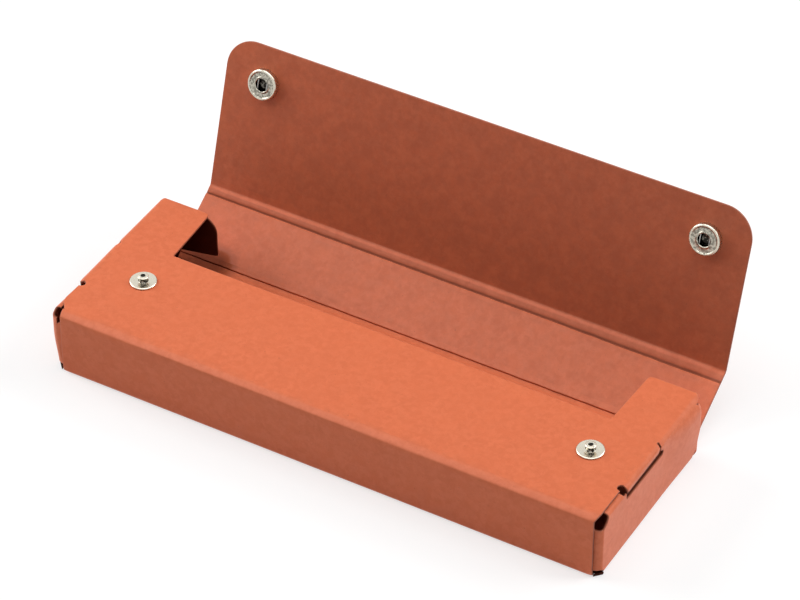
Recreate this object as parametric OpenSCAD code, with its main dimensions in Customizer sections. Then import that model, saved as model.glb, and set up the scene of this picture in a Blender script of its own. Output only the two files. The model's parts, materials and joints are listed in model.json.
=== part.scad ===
// Pen case creased and folded from one die-cut sheet, closed by two snap fasteners.
// The origin is the middle of the bottom's outer face: X runs along the case, Y to the back, Z up.
// The case stands open: the back panel leans back and the closing flap stands up from it.

/* [Case] */
// Outside length of the box, end to end
case_length = 190; // [150:1:240]
// Outside depth of the box, front to back
case_depth = 64.5; // [52:0.5:90]
// Outside height of the box
case_height = 23.5; // [18:0.5:34]

/* [Sheet and folds] */
// Thickness of the sheet
sheet = 0.8; // [0.6:0.1:1]
// Outside radius of the folds along the long and short edges
fold_radius = 1.6; // [1.4:0.1:2.2]
// Outside radius of the upright folds at the corners
upright_radius = 2.4; // [1.8:0.1:3]
// Radius of the hole punched where the folds meet at a top front corner
corner_hole_radius = 3.9; // [2.8:0.1:4.5]
// Radius of the holes punched where the folds meet at the other corners
small_hole_radius = 2.6; // [1.5:0.1:3]

/* [Back and flap] */
// How far the back crease lies behind the back edge of the box
crease_setback = 1.4; // [0.9:0.1:3]
// Radius of the raised bead pressed along a crease
bead_radius = 1.3; // [1:0.1:1.6]
// How much shorter than the box the back panel and the flap are, at each end
flap_inset = 2.6; // [2:0.1:8]
// Distance from the snaps to the free edge of the flap
flap_margin = 12.5; // [9:0.1:20]
// Radius of the free corners of the flap
flap_corner_radius = 10; // [4:0.5:16]
// Slope of the back panel above the table, as the case stands open
panel_lean = 31; // [5:0.5:60]
// Slope of the flap above the back panel, as the case stands open
flap_lean = 42; // [5:0.5:60]

/* [Top opening] */
// Distance from each end of the box to the notch in the back edge of the top, at its front edge
notch_from_end = 18.3; // [12:0.1:40]
// Depth of the notch, front to back
notch_depth = 23.2; // [10:0.2:26]
// How much the notch widens at each end on its way to the back
notch_flare = 1; // [0:0.1:3]

/* [Tucked flaps] */
// Distance from the front face to the lock tab
tab_from_front = 17.3; // [12:0.1:20]
// Width of the lock tab, front to back
tab_width = 21; // [10:0.5:22]
// Height of the slit that the lock tab goes into, below the top face
slit_drop = 3.7; // [3.5:0.1:6]
// Length of the tab's tip behind the end wall
tab_tip = 2.8; // [1.5:0.1:4]
// Radius of the holes punched at the two ends of the lock tab
tab_hole_radius = 1.2; // [0.6:0.1:1.6]
// Length of the flap tucked under the top at each end
top_flap_length = 8.6; // [4:0.2:10]
// Length of the flap tucked behind the front wall at each end
front_flap_length = 18; // [8:1:26]
// Length of the dust flap across the back opening at each end
dust_flap_length = 18; // [8:0.5:26]
// Radius of the free corners of the tucked flaps
tuck_corner_radius = 4; // [1:0.5:6]
// Radius of the free corners of the dust flaps
dust_corner_radius = 7; // [1:0.5:7]
// How far the lower edge of a dust flap rises on its way to the free end
dust_flap_rise = 7; // [0.5:0.5:8]

/* [Snaps] */
// Distance from each end of the box to the snap near it
snap_from_end = 17; // [15:0.05:30]
// Distance from the front face to the snaps
snap_from_front = 26; // [20:0.5:30]
// Diameter of the stud's flange
stud_diameter = 8.6; // [7:0.1:10]
// Thickness of the stud's flange
stud_flange = 0.55; // [0.4:0.05:0.8]
// Height of the stud above the top
stud_height = 2.35; // [2.2:0.05:2.6]
// Radius of the stud's head
stud_head_radius = 1.75; // [1.5:0.05:1.8]
// Radius of the stud's neck
stud_neck_radius = 1.3; // [1.2:0.05:1.35]
// Diameter of the socket
socket_diameter = 10.4; // [9:0.1:12]
// Height of the socket above the flap
socket_height = 2.3; // [2.2:0.05:2.6]
// Diameter of the cap on the outside of the flap
cap_diameter = 10.8; // [9:0.1:13]
// Height of the cap above the flap
cap_height = 1.7; // [1.4:0.1:2.4]
// Diameter of the spring wire in the socket
wire_diameter = 0.5; // [0.4:0.05:0.6]
// Gap between the stud's flange and the socket when the case is closed
snap_gap = 0.25; // [0.15:0.05:0.6]

/* [Hidden] */
LEFT = -1;
RIGHT = 1;
$fn = 64;

// Clearances
crease_gap = 0.15;
slit_gap = 0.25;
flap_gap = 0.3;
hole_gap = 0.1;
cut_over = 1;

// The box
half_length = case_length / 2;
half_depth = case_depth / 2;
panel_half_length = half_length - fold_radius;
front_fold_y = -half_depth + fold_radius;
inner_top = case_height - sheet;
top_fold_z = case_height - fold_radius;
end_top_fold_z = inner_top - fold_radius;
front_flap_y = -half_depth + sheet;
dust_flap_back = half_depth - flap_gap;
upright_x = half_length - upright_radius;
upright_front_y = front_flap_y + upright_radius;
upright_back_y = dust_flap_back - upright_radius;

// The creases, the back panel and the flap
crease_y = half_depth + crease_setback;
crease_z = bead_radius;
bead_cut = bead_radius - 0.4;
flap_half_length = half_length - flap_inset;
closed_gap = socket_height + snap_gap + stud_flange;
back_length = case_height + closed_gap + sheet - 2 * bead_radius;
snap_x = half_length - snap_from_end;
snap_y = -half_depth + snap_from_front;
snap_reach = crease_y - snap_y;
flap_length = snap_reach + flap_margin;

// The lock tabs
tab_front_y = -half_depth + tab_from_front;
tab_back_y = tab_front_y + tab_width;
slit_z = case_height - slit_drop;
tab_bend_z = slit_z + sheet + slit_gap;

// The snaps
post_radius = 0.95;
post_flange_radius = stud_diameter / 2 - 0.1;
post_flange = 0.6;
post_head = 0.1;
cap_post_radius = 1.5;
cap_roll = 0.2;
cap_roll_radius = 1.85;
cap_rim = 0.7;
stamping = 0.3;
bore_radius = 2.1;
socket_lip = 0.25;
socket_wall = 0.45;
socket_rim = 0.6;
stud_head = 0.35;
spring_gap = 0.05;
spring_height = closed_gap - stud_height + stud_head + wire_diameter / 2 + spring_gap;
spring_reach = 1.9;
spring_half_gap = stud_neck_radius + wire_diameter / 2 + 0.08;

// Shared shapes

// A profile drawn in Y and Z, drawn out along X
module along_x(length) {
    rotate([90, 0, 90]) linear_extrude(length, center = true) children();
}

// A profile drawn in X and Z, drawn out along Y between two places
module along_y(from, to) {
    translate([0, to, 0]) rotate([90, 0, 0]) linear_extrude(to - from) children();
}

// The right end as drawn, or its mirror image at the left end
module at_end(side) {
    if (side == LEFT) mirror([1, 0, 0]) children();
    else children();
}

// A quarter of a fold, bent round the origin in the quadrant with these signs
module fold(radius, sign_u, sign_v) {
    intersection() {
        difference() {
            circle(radius);
            circle(radius - sheet);
        }
        corner_square(radius, sign_u, sign_v);
    }
}

// A square with one corner at the origin, reaching into the quadrant with these signs
module corner_square(size, sign_u, sign_v) {
    translate([sign_u < 0 ? -size : 0, sign_v < 0 ? -size : 0]) square(size);
}

// A fold along an upright edge, between two heights
module upright_fold(sign_y, from, to) {
    translate([0, 0, from]) linear_extrude(to - from) fold(upright_radius, 1, sign_y);
}

// A rectangle from 0 to length with two rounded corners at its far end
module rounded_tongue(length, low, high, radius) {
    translate([0, low]) square([length - radius, high - low]);
    translate([0, low + radius]) square([length, high - low - 2 * radius]);
    for (v = [low + radius, high - radius]) translate([length - radius, v]) circle(radius);
}

// Round hole through the end wall or a flap that faces the end
module end_hole(y, z, radius) {
    translate([half_length - 2 * upright_radius, y, z]) rotate([0, 90, 0])
        cylinder(r = radius, h = 3 * upright_radius);
}

// Axes of the back crease at rest: X along it, Y up the back panel, Z to the inside
module on_back_panel() {
    translate([0, crease_y, crease_z]) rotate([panel_lean, 0, 0]) children();
}

// Axes of the flap crease at rest: X along it, Y up the flap, Z to the inside
module on_flap() {
    on_back_panel() translate([0, back_length, 0]) rotate([flap_lean, 0, 0]) children();
}

// The box

module bottom_panel() color("#c8734f") {
    difference() {
        union() {
            translate([-panel_half_length, front_fold_y, 0])
                cube([2 * panel_half_length, upright_back_y - front_fold_y, sheet]);
            translate([-flap_half_length, front_fold_y, 0])
                cube([2 * flap_half_length, crease_y - bead_cut - front_fold_y, sheet]);
        }
        for (side = [LEFT, RIGHT])
            translate([side * panel_half_length, front_fold_y, -cut_over])
                cylinder(r = small_hole_radius, h = sheet + 2 * cut_over);
    }
}

module front_wall() color("#a8593f") {
    along_x(2 * panel_half_length) {
        translate([front_fold_y, fold_radius]) fold(fold_radius, -1, -1);
        translate([-half_depth, fold_radius]) square([sheet, case_height - 2 * fold_radius]);
        translate([front_fold_y, top_fold_z]) fold(fold_radius, -1, 1);
    }
}

// The notch in plan, wider at the back
module notch_2d() {
    front = half_depth - notch_depth;
    slope = notch_flare / notch_depth;
    back = half_depth + cut_over;
    root = half_length - notch_from_end;
    mouth = root + slope * (back - front);
    polygon([[-root, front], [root, front], [mouth, back], [-mouth, back]]);
}

module top_panel() color("#e07a4e") {
    ear_edge = panel_half_length + fold_radius - sheet;
    ear_front = tab_back_y + 2 * tab_hole_radius;
    translate([0, 0, inner_top]) difference() {
        linear_extrude(sheet) difference() {
            union() {
                translate([-panel_half_length, front_fold_y])
                    square([2 * panel_half_length, half_depth - front_fold_y]);
                translate([-ear_edge, ear_front]) square([2 * ear_edge, half_depth - ear_front]);
            }
            notch_2d();
        }
        for (side = [LEFT, RIGHT]) {
            for (y = [tab_front_y - tab_hole_radius, tab_back_y + tab_hole_radius])
                translate([side * panel_half_length, y, -cut_over])
                    cylinder(r = tab_hole_radius, h = sheet + 2 * cut_over);
            translate([side * snap_x, snap_y, -cut_over])
                cylinder(r = post_radius + hole_gap, h = sheet + 2 * cut_over);
        }
    }
}

// The end wall's section from the bottom fold to the top fold
module end_section() {
    translate([panel_half_length, fold_radius]) fold(fold_radius, 1, -1);
    translate([half_length - sheet, fold_radius]) square([sheet, end_top_fold_z - fold_radius]);
    translate([panel_half_length, end_top_fold_z]) fold(fold_radius, 1, 1);
}

// The gap that the lock tab bends down through, with round ends
module slit() {
    low = slit_z;
    front = tab_front_y - slit_gap;
    back = tab_back_y + slit_gap;
    width = 2 * upright_radius;
    translate([half_length - width, front, low])
        cube([width + cut_over, back - front, case_height - low]);
    for (y = [tab_front_y - tab_hole_radius, tab_back_y + tab_hole_radius])
        end_hole(y, inner_top, 1.5 * tab_hole_radius);
}

module end_wall(side) color("#cf7f68") {
    at_end(side) difference() {
        union() {
            along_y(upright_front_y, upright_back_y) end_section();
            translate([upright_x, upright_front_y, 0])
                upright_fold(-1, fold_radius, end_top_fold_z);
            translate([upright_x, upright_back_y, 0])
                upright_fold(1, fold_radius, end_top_fold_z);
        }
        slit();
        end_hole(front_fold_y, top_fold_z, corner_hole_radius);
        end_hole(front_fold_y, 0, small_hole_radius);
        end_hole(dust_flap_back, inner_top, small_hole_radius + sheet);
        end_hole(dust_flap_back, 0, small_hole_radius);
    }
}

// The tab folds down over the end, through the slit, and its tip lies behind the end wall
module lock_tab(side) color("#e07a4e") {
    behind = half_length - sheet;
    inside = half_length - 2 * sheet;
    tip_top = slit_z + hole_gap;
    tip_end = tip_top - tab_tip;
    at_end(side) along_y(tab_front_y, tab_back_y) {
        translate([panel_half_length, top_fold_z]) fold(fold_radius, 1, 1);
        polygon([
            [behind, top_fold_z], [behind, tab_bend_z], [inside, tip_top], [inside, tip_end],
            [behind, tip_end], [behind, tip_top], [half_length, tab_bend_z], [half_length, top_fold_z]
        ]);
    }
}

module front_tuck_flap(side) color("#9c5139") {
    low = fold_radius;
    high = end_top_fold_z;
    at_end(side) difference() {
        translate([upright_x, front_flap_y, 0]) rotate([-90, 0, 0]) mirror([1, 0, 0])
            linear_extrude(sheet) rounded_tongue(front_flap_length, -high, -low, tuck_corner_radius);
        end_hole(front_fold_y, top_fold_z, corner_hole_radius);
        end_hole(front_fold_y, 0, small_hole_radius);
    }
}

module top_tuck_flap(side) color("#9c5139") {
    front = front_fold_y + corner_hole_radius;
    back = tab_back_y + 2 * tab_hole_radius;
    at_end(side) translate([panel_half_length, 0, inner_top - sheet]) mirror([1, 0, 0])
        linear_extrude(sheet) rounded_tongue(top_flap_length, front, back, tuck_corner_radius);
}

// The dust flap turns about the middle of the upright fold
module dust_flap(side) color("#6e3524") {
    low = sheet + flap_gap;
    high = inner_top - flap_gap;
    at_end(side) difference() {
        translate([upright_x, dust_flap_back, 0]) rotate([90, 0, 0]) mirror([1, 0, 0])
            linear_extrude(sheet) difference() {
                rounded_tongue(dust_flap_length, low, high, dust_corner_radius);
                translate([-cut_over, 0]) square([cut_over + crease_gap, case_height]);
                translate([0, inner_top]) circle(small_hole_radius + sheet);
                circle(small_hole_radius);
                polygon([
                    [small_hole_radius, 0],
                    [small_hole_radius, low],
                    [dust_flap_length, low + dust_flap_rise],
                    [dust_flap_length + cut_over, low + dust_flap_rise],
                    [dust_flap_length + cut_over, 0]
                ]);
            }
    }
}

// The creases, the back panel and the flap

// A bead round its crease, flat where it joins the panel that carries it
module bead() {
    along_x(2 * flap_half_length) difference() {
        circle(bead_radius);
        translate([-bead_radius - cut_over, -bead_radius])
            square([bead_radius - bead_cut + cut_over, 2 * bead_radius]);
    }
}

// The hollow edge of a panel that turns round a bead
module crease_hollow() {
    rotate([0, 90, 0])
        cylinder(r = bead_radius + crease_gap, h = case_length + 2 * cut_over, center = true);
}

module back_crease_bead() color("#c8734f") {
    translate([0, crease_y, crease_z]) bead();
}

module back_panel() color("#c77a5c") {
    on_back_panel() difference() {
        translate([-flap_half_length, 0, -bead_radius])
            cube([2 * flap_half_length, back_length - bead_cut, sheet]);
        crease_hollow();
    }
}

module flap_crease_bead() color("#c77a5c") {
    on_back_panel() translate([0, back_length, 0]) bead();
}

// The flap in plan: square at the crease, with two rounded free corners
module flap_2d() {
    straight = flap_length - flap_corner_radius;
    inner = flap_half_length - flap_corner_radius;
    translate([-flap_half_length, 0]) square([2 * flap_half_length, straight]);
    translate([-inner, 0]) square([2 * inner, flap_length]);
    for (side = [LEFT, RIGHT]) translate([side * inner, straight]) circle(flap_corner_radius);
}

module closing_flap() color("#a04f34") {
    on_flap() difference() {
        translate([0, 0, -bead_radius]) linear_extrude(sheet) flap_2d();
        crease_hollow();
        for (side = [LEFT, RIGHT])
            translate([side * snap_x, snap_reach, -bead_radius - cut_over])
                cylinder(r = cap_post_radius + hole_gap, h = sheet + 2 * cut_over);
    }
}

// The snaps

// Axes of a flap snap at rest: Z stands off the flap's inner face
module on_flap_snap(side) {
    on_flap() translate([side * snap_x, snap_reach, sheet - bead_radius]) children();
}

// Domed cap outside the flap, with its post through the sheet and rolled inside the socket
module snap_cap(side) color("#c9c6bf") {
    radius = cap_diameter / 2;
    dome = cap_height - 2 * cap_rim / 3;
    on_flap_snap(side) rotate_extrude() {
        translate([0, -sheet - cap_height]) difference() {
            union() {
                translate([0, cap_height - dome]) square([radius - cap_rim / 2, dome]);
                translate([radius - cap_rim / 2, cap_height - cap_rim / 2]) circle(cap_rim / 2);
                intersection() {
                    translate([0, 3 * radius]) circle(3 * radius);
                    square([radius - cap_rim / 2, cap_height]);
                }
            }
            translate([cap_post_radius, cap_height - dome + stamping])
                square([radius - cap_rim - cap_post_radius, dome - 2 * stamping]);
            translate([-radius, 0]) square([radius, cap_height]);
        }
        translate([0, -sheet]) square([cap_post_radius, sheet + stamping]);
        translate([0, stamping]) square([cap_roll_radius, cap_roll]);
    }
}

// Hollow socket on the flap's inner face: a base, a rounded outer wall, a face and a lip round its bore
module snap_socket(side) color("#d2d0c8") {
    radius = socket_diameter / 2;
    base_hole = cap_post_radius + hole_gap;
    on_flap_snap(side) rotate_extrude() {
        translate([base_hole, 0]) square([radius - base_hole, stamping]);
        translate([radius - socket_wall, 0]) square([socket_wall, socket_height - socket_rim]);
        translate([radius - socket_rim, socket_height - socket_rim]) difference() {
            circle(socket_rim);
            translate([-2 * socket_rim, -2 * socket_rim])
                square([4 * socket_rim, 2 * socket_rim]);
            translate([-2 * socket_rim, -socket_rim]) square([2 * socket_rim, 3 * socket_rim]);
        }
        translate([bore_radius, socket_height - stamping])
            square([radius - socket_rim - bore_radius, stamping]);
        translate([radius - socket_rim, socket_height - socket_rim - socket_lip])
            square([socket_rim - socket_wall / 2, socket_lip]);
        translate([bore_radius, socket_height - stamping - socket_lip])
            square([socket_lip, socket_lip]);
    }
}

// Spring wire bent into a long loop: its two straight sides grip the stud's neck
module socket_spring(side) color("#8f8d88") {
    on_flap_snap(side) translate([0, 0, spring_height]) {
        for (u = [-1, 1])
            translate([u * spring_half_gap, spring_reach, 0]) rotate([90, 0, 0])
                cylinder(d = wire_diameter, h = 2 * spring_reach);
        translate([0, -spring_reach, 0]) rotate([0, 0, 180]) rotate_extrude(angle = 180)
            translate([spring_half_gap, 0]) circle(d = wire_diameter);
    }
}

// Axes of a stud: Z stands off the top's outer face
module on_stud(side) {
    translate([side * snap_x, snap_y, case_height]) children();
}

module snap_stud(side) color("#d8d5cc") {
    radius = stud_diameter / 2;
    edge = stud_flange / 2;
    bore = post_radius + hole_gap;
    on_stud(side) rotate_extrude() {
        translate([bore, 0]) square([radius - edge - bore, stud_flange]);
        translate([radius - edge, edge]) circle(edge);
        polygon([
            [bore, 0], [stud_neck_radius + 0.3, 0], [stud_neck_radius + 0.3, stud_flange],
            [stud_neck_radius, stud_flange + 0.3], [stud_neck_radius, stud_height - stud_head],
            [stud_head_radius, stud_height - stud_head], [stud_head_radius - 0.1, stud_height - 0.2],
            [stud_head_radius - 0.35, stud_height], [bore, stud_height]
        ]);
    }
}

// Flanged post from under the top, rolled over the stud's head
module stud_post(side) color("#bdbab2") {
    on_stud(side) rotate_extrude() {
        translate([0, -sheet - post_flange]) square([post_flange_radius, post_flange]);
        translate([0, -sheet]) square([post_radius, sheet + stud_height]);
        translate([0, stud_height]) square([stud_neck_radius, post_head]);
    }
}

bottom_panel();
front_wall();
top_panel();
back_crease_bead();
end_wall(LEFT);  // left_end_wall
end_wall(RIGHT);  // right_end_wall
lock_tab(LEFT);  // left_lock_tab
lock_tab(RIGHT);  // right_lock_tab
front_tuck_flap(LEFT);  // left_front_tuck_flap
front_tuck_flap(RIGHT);  // right_front_tuck_flap
top_tuck_flap(LEFT);  // left_top_tuck_flap
top_tuck_flap(RIGHT);  // right_top_tuck_flap
dust_flap(LEFT);  // left_dust_flap
dust_flap(RIGHT);  // right_dust_flap
back_panel();
flap_crease_bead();
closing_flap();
snap_cap(LEFT);  // left_snap_cap
snap_cap(RIGHT);  // right_snap_cap
snap_socket(LEFT);  // left_snap_socket
snap_socket(RIGHT);  // right_snap_socket
socket_spring(LEFT);  // left_socket_spring
socket_spring(RIGHT);  // right_socket_spring
snap_stud(LEFT);  // left_snap_stud
snap_stud(RIGHT);  // right_snap_stud
stud_post(LEFT);  // left_stud_post
stud_post(RIGHT);  // right_stud_post
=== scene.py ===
import json
import math
from collections import namedtuple

import bmesh
import bpy
import numpy as np
from bpy.props import FloatProperty, FloatVectorProperty, IntProperty, PointerProperty
from mathutils import Matrix, Vector, noise
from mathutils.geometry import delaunay_2d_cdt


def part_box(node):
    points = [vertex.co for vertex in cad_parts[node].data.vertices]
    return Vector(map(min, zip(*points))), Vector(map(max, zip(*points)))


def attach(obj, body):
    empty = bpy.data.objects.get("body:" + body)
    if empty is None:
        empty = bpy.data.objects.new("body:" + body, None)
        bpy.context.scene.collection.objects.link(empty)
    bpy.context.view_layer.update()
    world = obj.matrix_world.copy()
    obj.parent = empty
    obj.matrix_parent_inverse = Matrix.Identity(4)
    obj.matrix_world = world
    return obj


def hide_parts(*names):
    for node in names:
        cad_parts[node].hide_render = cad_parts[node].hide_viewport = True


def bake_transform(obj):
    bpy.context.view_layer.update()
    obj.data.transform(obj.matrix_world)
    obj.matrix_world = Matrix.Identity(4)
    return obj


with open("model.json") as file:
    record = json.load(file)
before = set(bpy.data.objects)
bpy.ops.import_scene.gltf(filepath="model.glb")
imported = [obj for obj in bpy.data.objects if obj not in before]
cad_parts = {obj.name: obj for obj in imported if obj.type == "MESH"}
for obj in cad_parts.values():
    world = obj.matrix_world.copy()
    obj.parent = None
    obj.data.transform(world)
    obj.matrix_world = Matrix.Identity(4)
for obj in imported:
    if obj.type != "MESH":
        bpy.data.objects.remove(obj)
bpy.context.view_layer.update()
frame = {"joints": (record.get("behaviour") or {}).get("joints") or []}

bl_info = {
    "name": "Folded pen case",
    "version": (1, 0, 0),
    "blender": (4, 5, 0),
    "location": "3D Viewport > Sidebar > Pen case",
    "description": "Dresses the frame of a folded pen case with its sheet, creases, snaps and stage",
    "category": "Add Mesh",
}

# Shapes are worked out in millimetres, and their meshes are made in metres
MM = 0.001
LEFT = -1
RIGHT = 1
SIDES = {LEFT: "left", RIGHT: "right"}
# A quarter turn
QUARTER = math.pi / 2
# How far the middle of a slit lies over the tip of its lock tab
SLIT_OVER_TIP = 2.7


# Sizes read from the frame

def corners(node):
    """Lowest and highest corner of a node, in millimetres."""
    low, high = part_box(node)
    return np.array(low) / MM, np.array(high) / MM


class CaseSizes:
    """Sizes and places of the case, in millimetres."""

    def __init__(self):
        bottom = corners("bottom_panel")
        wall = corners("front_wall")
        top = corners("top_panel")
        end = corners("right_end_wall")
        tab = corners("right_lock_tab")
        tuck = corners("right_front_tuck_flap")
        stud = corners("right_snap_stud")
        socket = corners("right_snap_socket")
        cap = corners("right_snap_cap")
        joints = {j["name"]: j for j in frame["joints"]}
        back_crease = joints["back_crease"]
        flap_crease = joints["flap_crease"]

        # The box: its outside, the ends of its panels and the radius of its folds
        self.sheet = bottom[1][2]
        self.height = top[1][2]
        self.front = wall[0][1]
        self.back = top[1][1]
        self.panel_end = wall[1][0]
        self.end = end[1][0]
        self.fold = self.end - self.panel_end
        self.fold_y = self.front + self.fold

        # The upright folds of the end walls, and the places where they start and stop
        self.upright = self.end - end[0][0]
        self.upright_x = end[0][0]
        self.inner_front = end[0][1]
        self.inner_back = end[1][1]
        self.upright_front = self.inner_front + self.upright
        self.upright_back = self.inner_back - self.upright
        self.upright_arc = self.upright * QUARTER
        self.end_top = end[1][2]

        # The lock tabs and the flaps of the end walls
        self.tab_front = tab[0][1]
        self.tab_back = tab[1][1]
        self.slit_z = tab[0][2] + SLIT_OVER_TIP
        self.tuck_length = tuck[1][0] - tuck[0][0]
        self.top_tuck = corners("right_top_tuck_flap")
        self.dust = corners("right_dust_flap")

        # The two creases. The bead is the distance from an axis to the sheet's outer face.
        self.crease_y = back_crease["pos_m"][1] / MM
        self.crease_z = back_crease["pos_m"][2] / MM
        self.bead = self.crease_z
        self.crease_half = corners("back_crease_bead")[1][0]
        self.lean = math.radians(90 - back_crease["range_deg"][1])
        self.flap_turn = math.radians(90 - flap_crease["range_deg"][1])
        self.flap_lean = self.lean + self.flap_turn
        self.flap_y = flap_crease["pos_m"][1] / MM
        self.flap_z = flap_crease["pos_m"][2] / MM
        self.back_length = math.hypot(self.flap_y - self.crease_y, self.flap_z - self.crease_z)

        # The snaps, and how far up the flap they sit
        self.snap_x = (stud[0][0] + stud[1][0]) / 2
        self.snap_y = (stud[0][1] + stud[1][1]) / 2
        self.stud_radius = (stud[1][0] - stud[0][0]) / 2
        self.stud_height = stud[1][2] - self.height
        self.socket_radius = (socket[1][0] - socket[0][0]) / 2
        self.cap_radius = (cap[1][0] - cap[0][0]) / 2
        self.snap_reach = self.crease_y - self.snap_y


case = CaseSizes()


# Settings that a user would change

class PENCASE_PG_sheet(bpy.types.PropertyGroup):
    """Sizes and colours of the folded sheet."""

    cut_radius: FloatProperty(
        name="Cut edge radius", description="Rounding of the sheet's cut edges",
        default=0.00018, min=0.00005, max=0.00035, unit="LENGTH", subtype="DISTANCE", precision=5,
    )
    wave_height: FloatProperty(
        name="Wave height", description="How far the panels dip from flat",
        default=0.00016, min=0.0, max=0.0005, unit="LENGTH", subtype="DISTANCE", precision=5,
    )
    wave_length: FloatProperty(
        name="Wave length", description="Distance from dip to dip along a panel",
        default=0.042, min=0.01, max=0.2, unit="LENGTH", subtype="DISTANCE",
    )
    mesh_step: FloatProperty(
        name="Mesh step", description="Size of a face in the flat of a panel",
        default=0.002, min=0.001, max=0.006, unit="LENGTH", subtype="DISTANCE",
    )
    notch_from_end: FloatProperty(
        name="Notch from end", description="Distance from each end of the box to the notch in the top",
        default=0.0183, min=0.012, max=0.04, unit="LENGTH", subtype="DISTANCE",
    )
    notch_depth: FloatProperty(
        name="Notch depth", description="Depth of the notch, front to back",
        default=0.0232, min=0.01, max=0.026, unit="LENGTH", subtype="DISTANCE",
    )
    notch_flare: FloatProperty(
        name="Notch flare", description="How much the notch widens at each end on its way to the back",
        default=0.001, min=0.0, max=0.003, unit="LENGTH", subtype="DISTANCE",
    )
    front_corner_hole: FloatProperty(
        name="Front corner hole", description="Radius of the hole at an upper front corner",
        default=0.0039, min=0.002, max=0.005, unit="LENGTH", subtype="DISTANCE",
    )
    small_hole: FloatProperty(
        name="Small corner hole", description="Radius of the holes at the other corners",
        default=0.0026, min=0.001, max=0.004, unit="LENGTH", subtype="DISTANCE",
    )
    flap_corner: FloatProperty(
        name="Flap corner radius", description="Radius of the flap's two free corners",
        default=0.01, min=0.002, max=0.02, unit="LENGTH", subtype="DISTANCE",
    )
    flap_margin: FloatProperty(
        name="Flap margin", description="Distance from the snaps to the free edge of the flap",
        default=0.0125, min=0.008, max=0.02, unit="LENGTH", subtype="DISTANCE",
    )
    dust_rise: FloatProperty(
        name="Dust flap rise", description="How far the lower edge of a dust flap rises to its free end",
        default=0.007, min=0.0005, max=0.008, unit="LENGTH", subtype="DISTANCE",
    )
    colour: FloatVectorProperty(
        name="Sheet colour", description="Colour of the pressed fibre sheet",
        default=(0.72, 0.168, 0.066), min=0.0, max=1.0, size=3, subtype="COLOR",
    )
    light_colour: FloatVectorProperty(
        name="Pale mottle", description="Colour of the paler clouds and fibres",
        default=(0.77, 0.200, 0.086), min=0.0, max=1.0, size=3, subtype="COLOR",
    )
    dark_colour: FloatVectorProperty(
        name="Dark mottle", description="Colour of the darker clouds",
        default=(0.62, 0.132, 0.050), min=0.0, max=1.0, size=3, subtype="COLOR",
    )
    speck_colour: FloatVectorProperty(
        name="Speck colour", description="Colour of the fine dark specks",
        default=(0.20, 0.045, 0.022), min=0.0, max=1.0, size=3, subtype="COLOR",
    )
    cut_colour: FloatVectorProperty(
        name="Cut edge colour", description="Colour of the raw edge where the sheet was cut",
        default=(0.36, 0.105, 0.055), min=0.0, max=1.0, size=3, subtype="COLOR",
    )


class PENCASE_PG_snaps(bpy.types.PropertyGroup):
    """Sizes and colours of the snap fasteners."""

    segments: IntProperty(
        name="Segments", description="Faces round a turned piece", default=96, min=24, max=192,
    )
    wire: FloatProperty(
        name="Wire diameter", description="Diameter of the spring wire in a socket",
        default=0.0005, min=0.0003, max=0.0007, unit="LENGTH", subtype="DISTANCE", precision=5,
    )
    nickel: FloatVectorProperty(
        name="Nickel colour", description="Colour of the plated metal",
        default=(0.70, 0.66, 0.55), min=0.0, max=1.0, size=3, subtype="COLOR",
    )
    steel: FloatVectorProperty(
        name="Steel colour", description="Colour of the spring wire",
        default=(0.44, 0.43, 0.41), min=0.0, max=1.0, size=3, subtype="COLOR",
    )


class PENCASE_PG_stage(bpy.types.PropertyGroup):
    """Camera, floor and lamps."""

    lens: FloatProperty(
        name="Lens", description="Focal length of the camera",
        default=180.17, min=20.0, max=400.0, unit="CAMERA",
    )
    place: FloatVectorProperty(
        name="Camera place", description="Where the camera stands",
        default=(0.46473, -0.79133, 0.81376), size=3, unit="LENGTH", subtype="TRANSLATION",
    )
    azimuth: FloatProperty(
        name="Azimuth", description="Turn of the camera round the case",
        default=math.radians(29.893), unit="ROTATION", subtype="ANGLE",
    )
    elevation: FloatProperty(
        name="Elevation", description="Angle of the camera above the table",
        default=math.radians(39.991), unit="ROTATION", subtype="ANGLE",
    )
    roll: FloatProperty(
        name="Roll", description="Tilt of the camera to one side",
        default=math.radians(-0.043), unit="ROTATION", subtype="ANGLE",
    )
    floor_colour: FloatVectorProperty(
        name="Floor colour", description="Colour of the floor",
        default=(0.86, 0.86, 0.86), min=0.0, max=1.0, size=3, subtype="COLOR",
    )
    world_strength: FloatProperty(
        name="World strength", description="Soft light from all round", default=0.04, min=0.0, max=2.0,
    )
    overhead_power: FloatProperty(
        name="Overhead power", description="Power of the soft box above the case",
        default=5.4, min=0.0, max=100.0, unit="POWER",
    )
    left_power: FloatProperty(
        name="Left power", description="Power of the soft box on the left",
        default=7.4, min=0.0, max=100.0, unit="POWER",
    )
    right_power: FloatProperty(
        name="Right power", description="Power of the soft box behind the case on the right",
        default=8.6, min=0.0, max=100.0, unit="POWER",
    )


Settings = namedtuple("Settings", "sheet snaps stage")


def settings():
    """The three groups of settings."""
    scene = bpy.context.scene
    return Settings(scene.pencase_sheet, scene.pencase_snaps, scene.pencase_stage)


def mesh_step():
    """Size of a face in the flat of a panel, in millimetres."""
    return settings().sheet.mesh_step / MM


# Lines and outlines

# Longest face in a bend, and how far the look of a fold spreads past the bend, as a share of it
BEND_STEP = 0.32
FOLD_SPREAD = 1.35
# Points closer than this are one point, and corners with less of a turn are straight
SAME_PLACE = 1e-4
NEARLY_STRAIGHT = 0.02

Part = namedtuple("Part", "start length curve tip heading")


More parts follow.
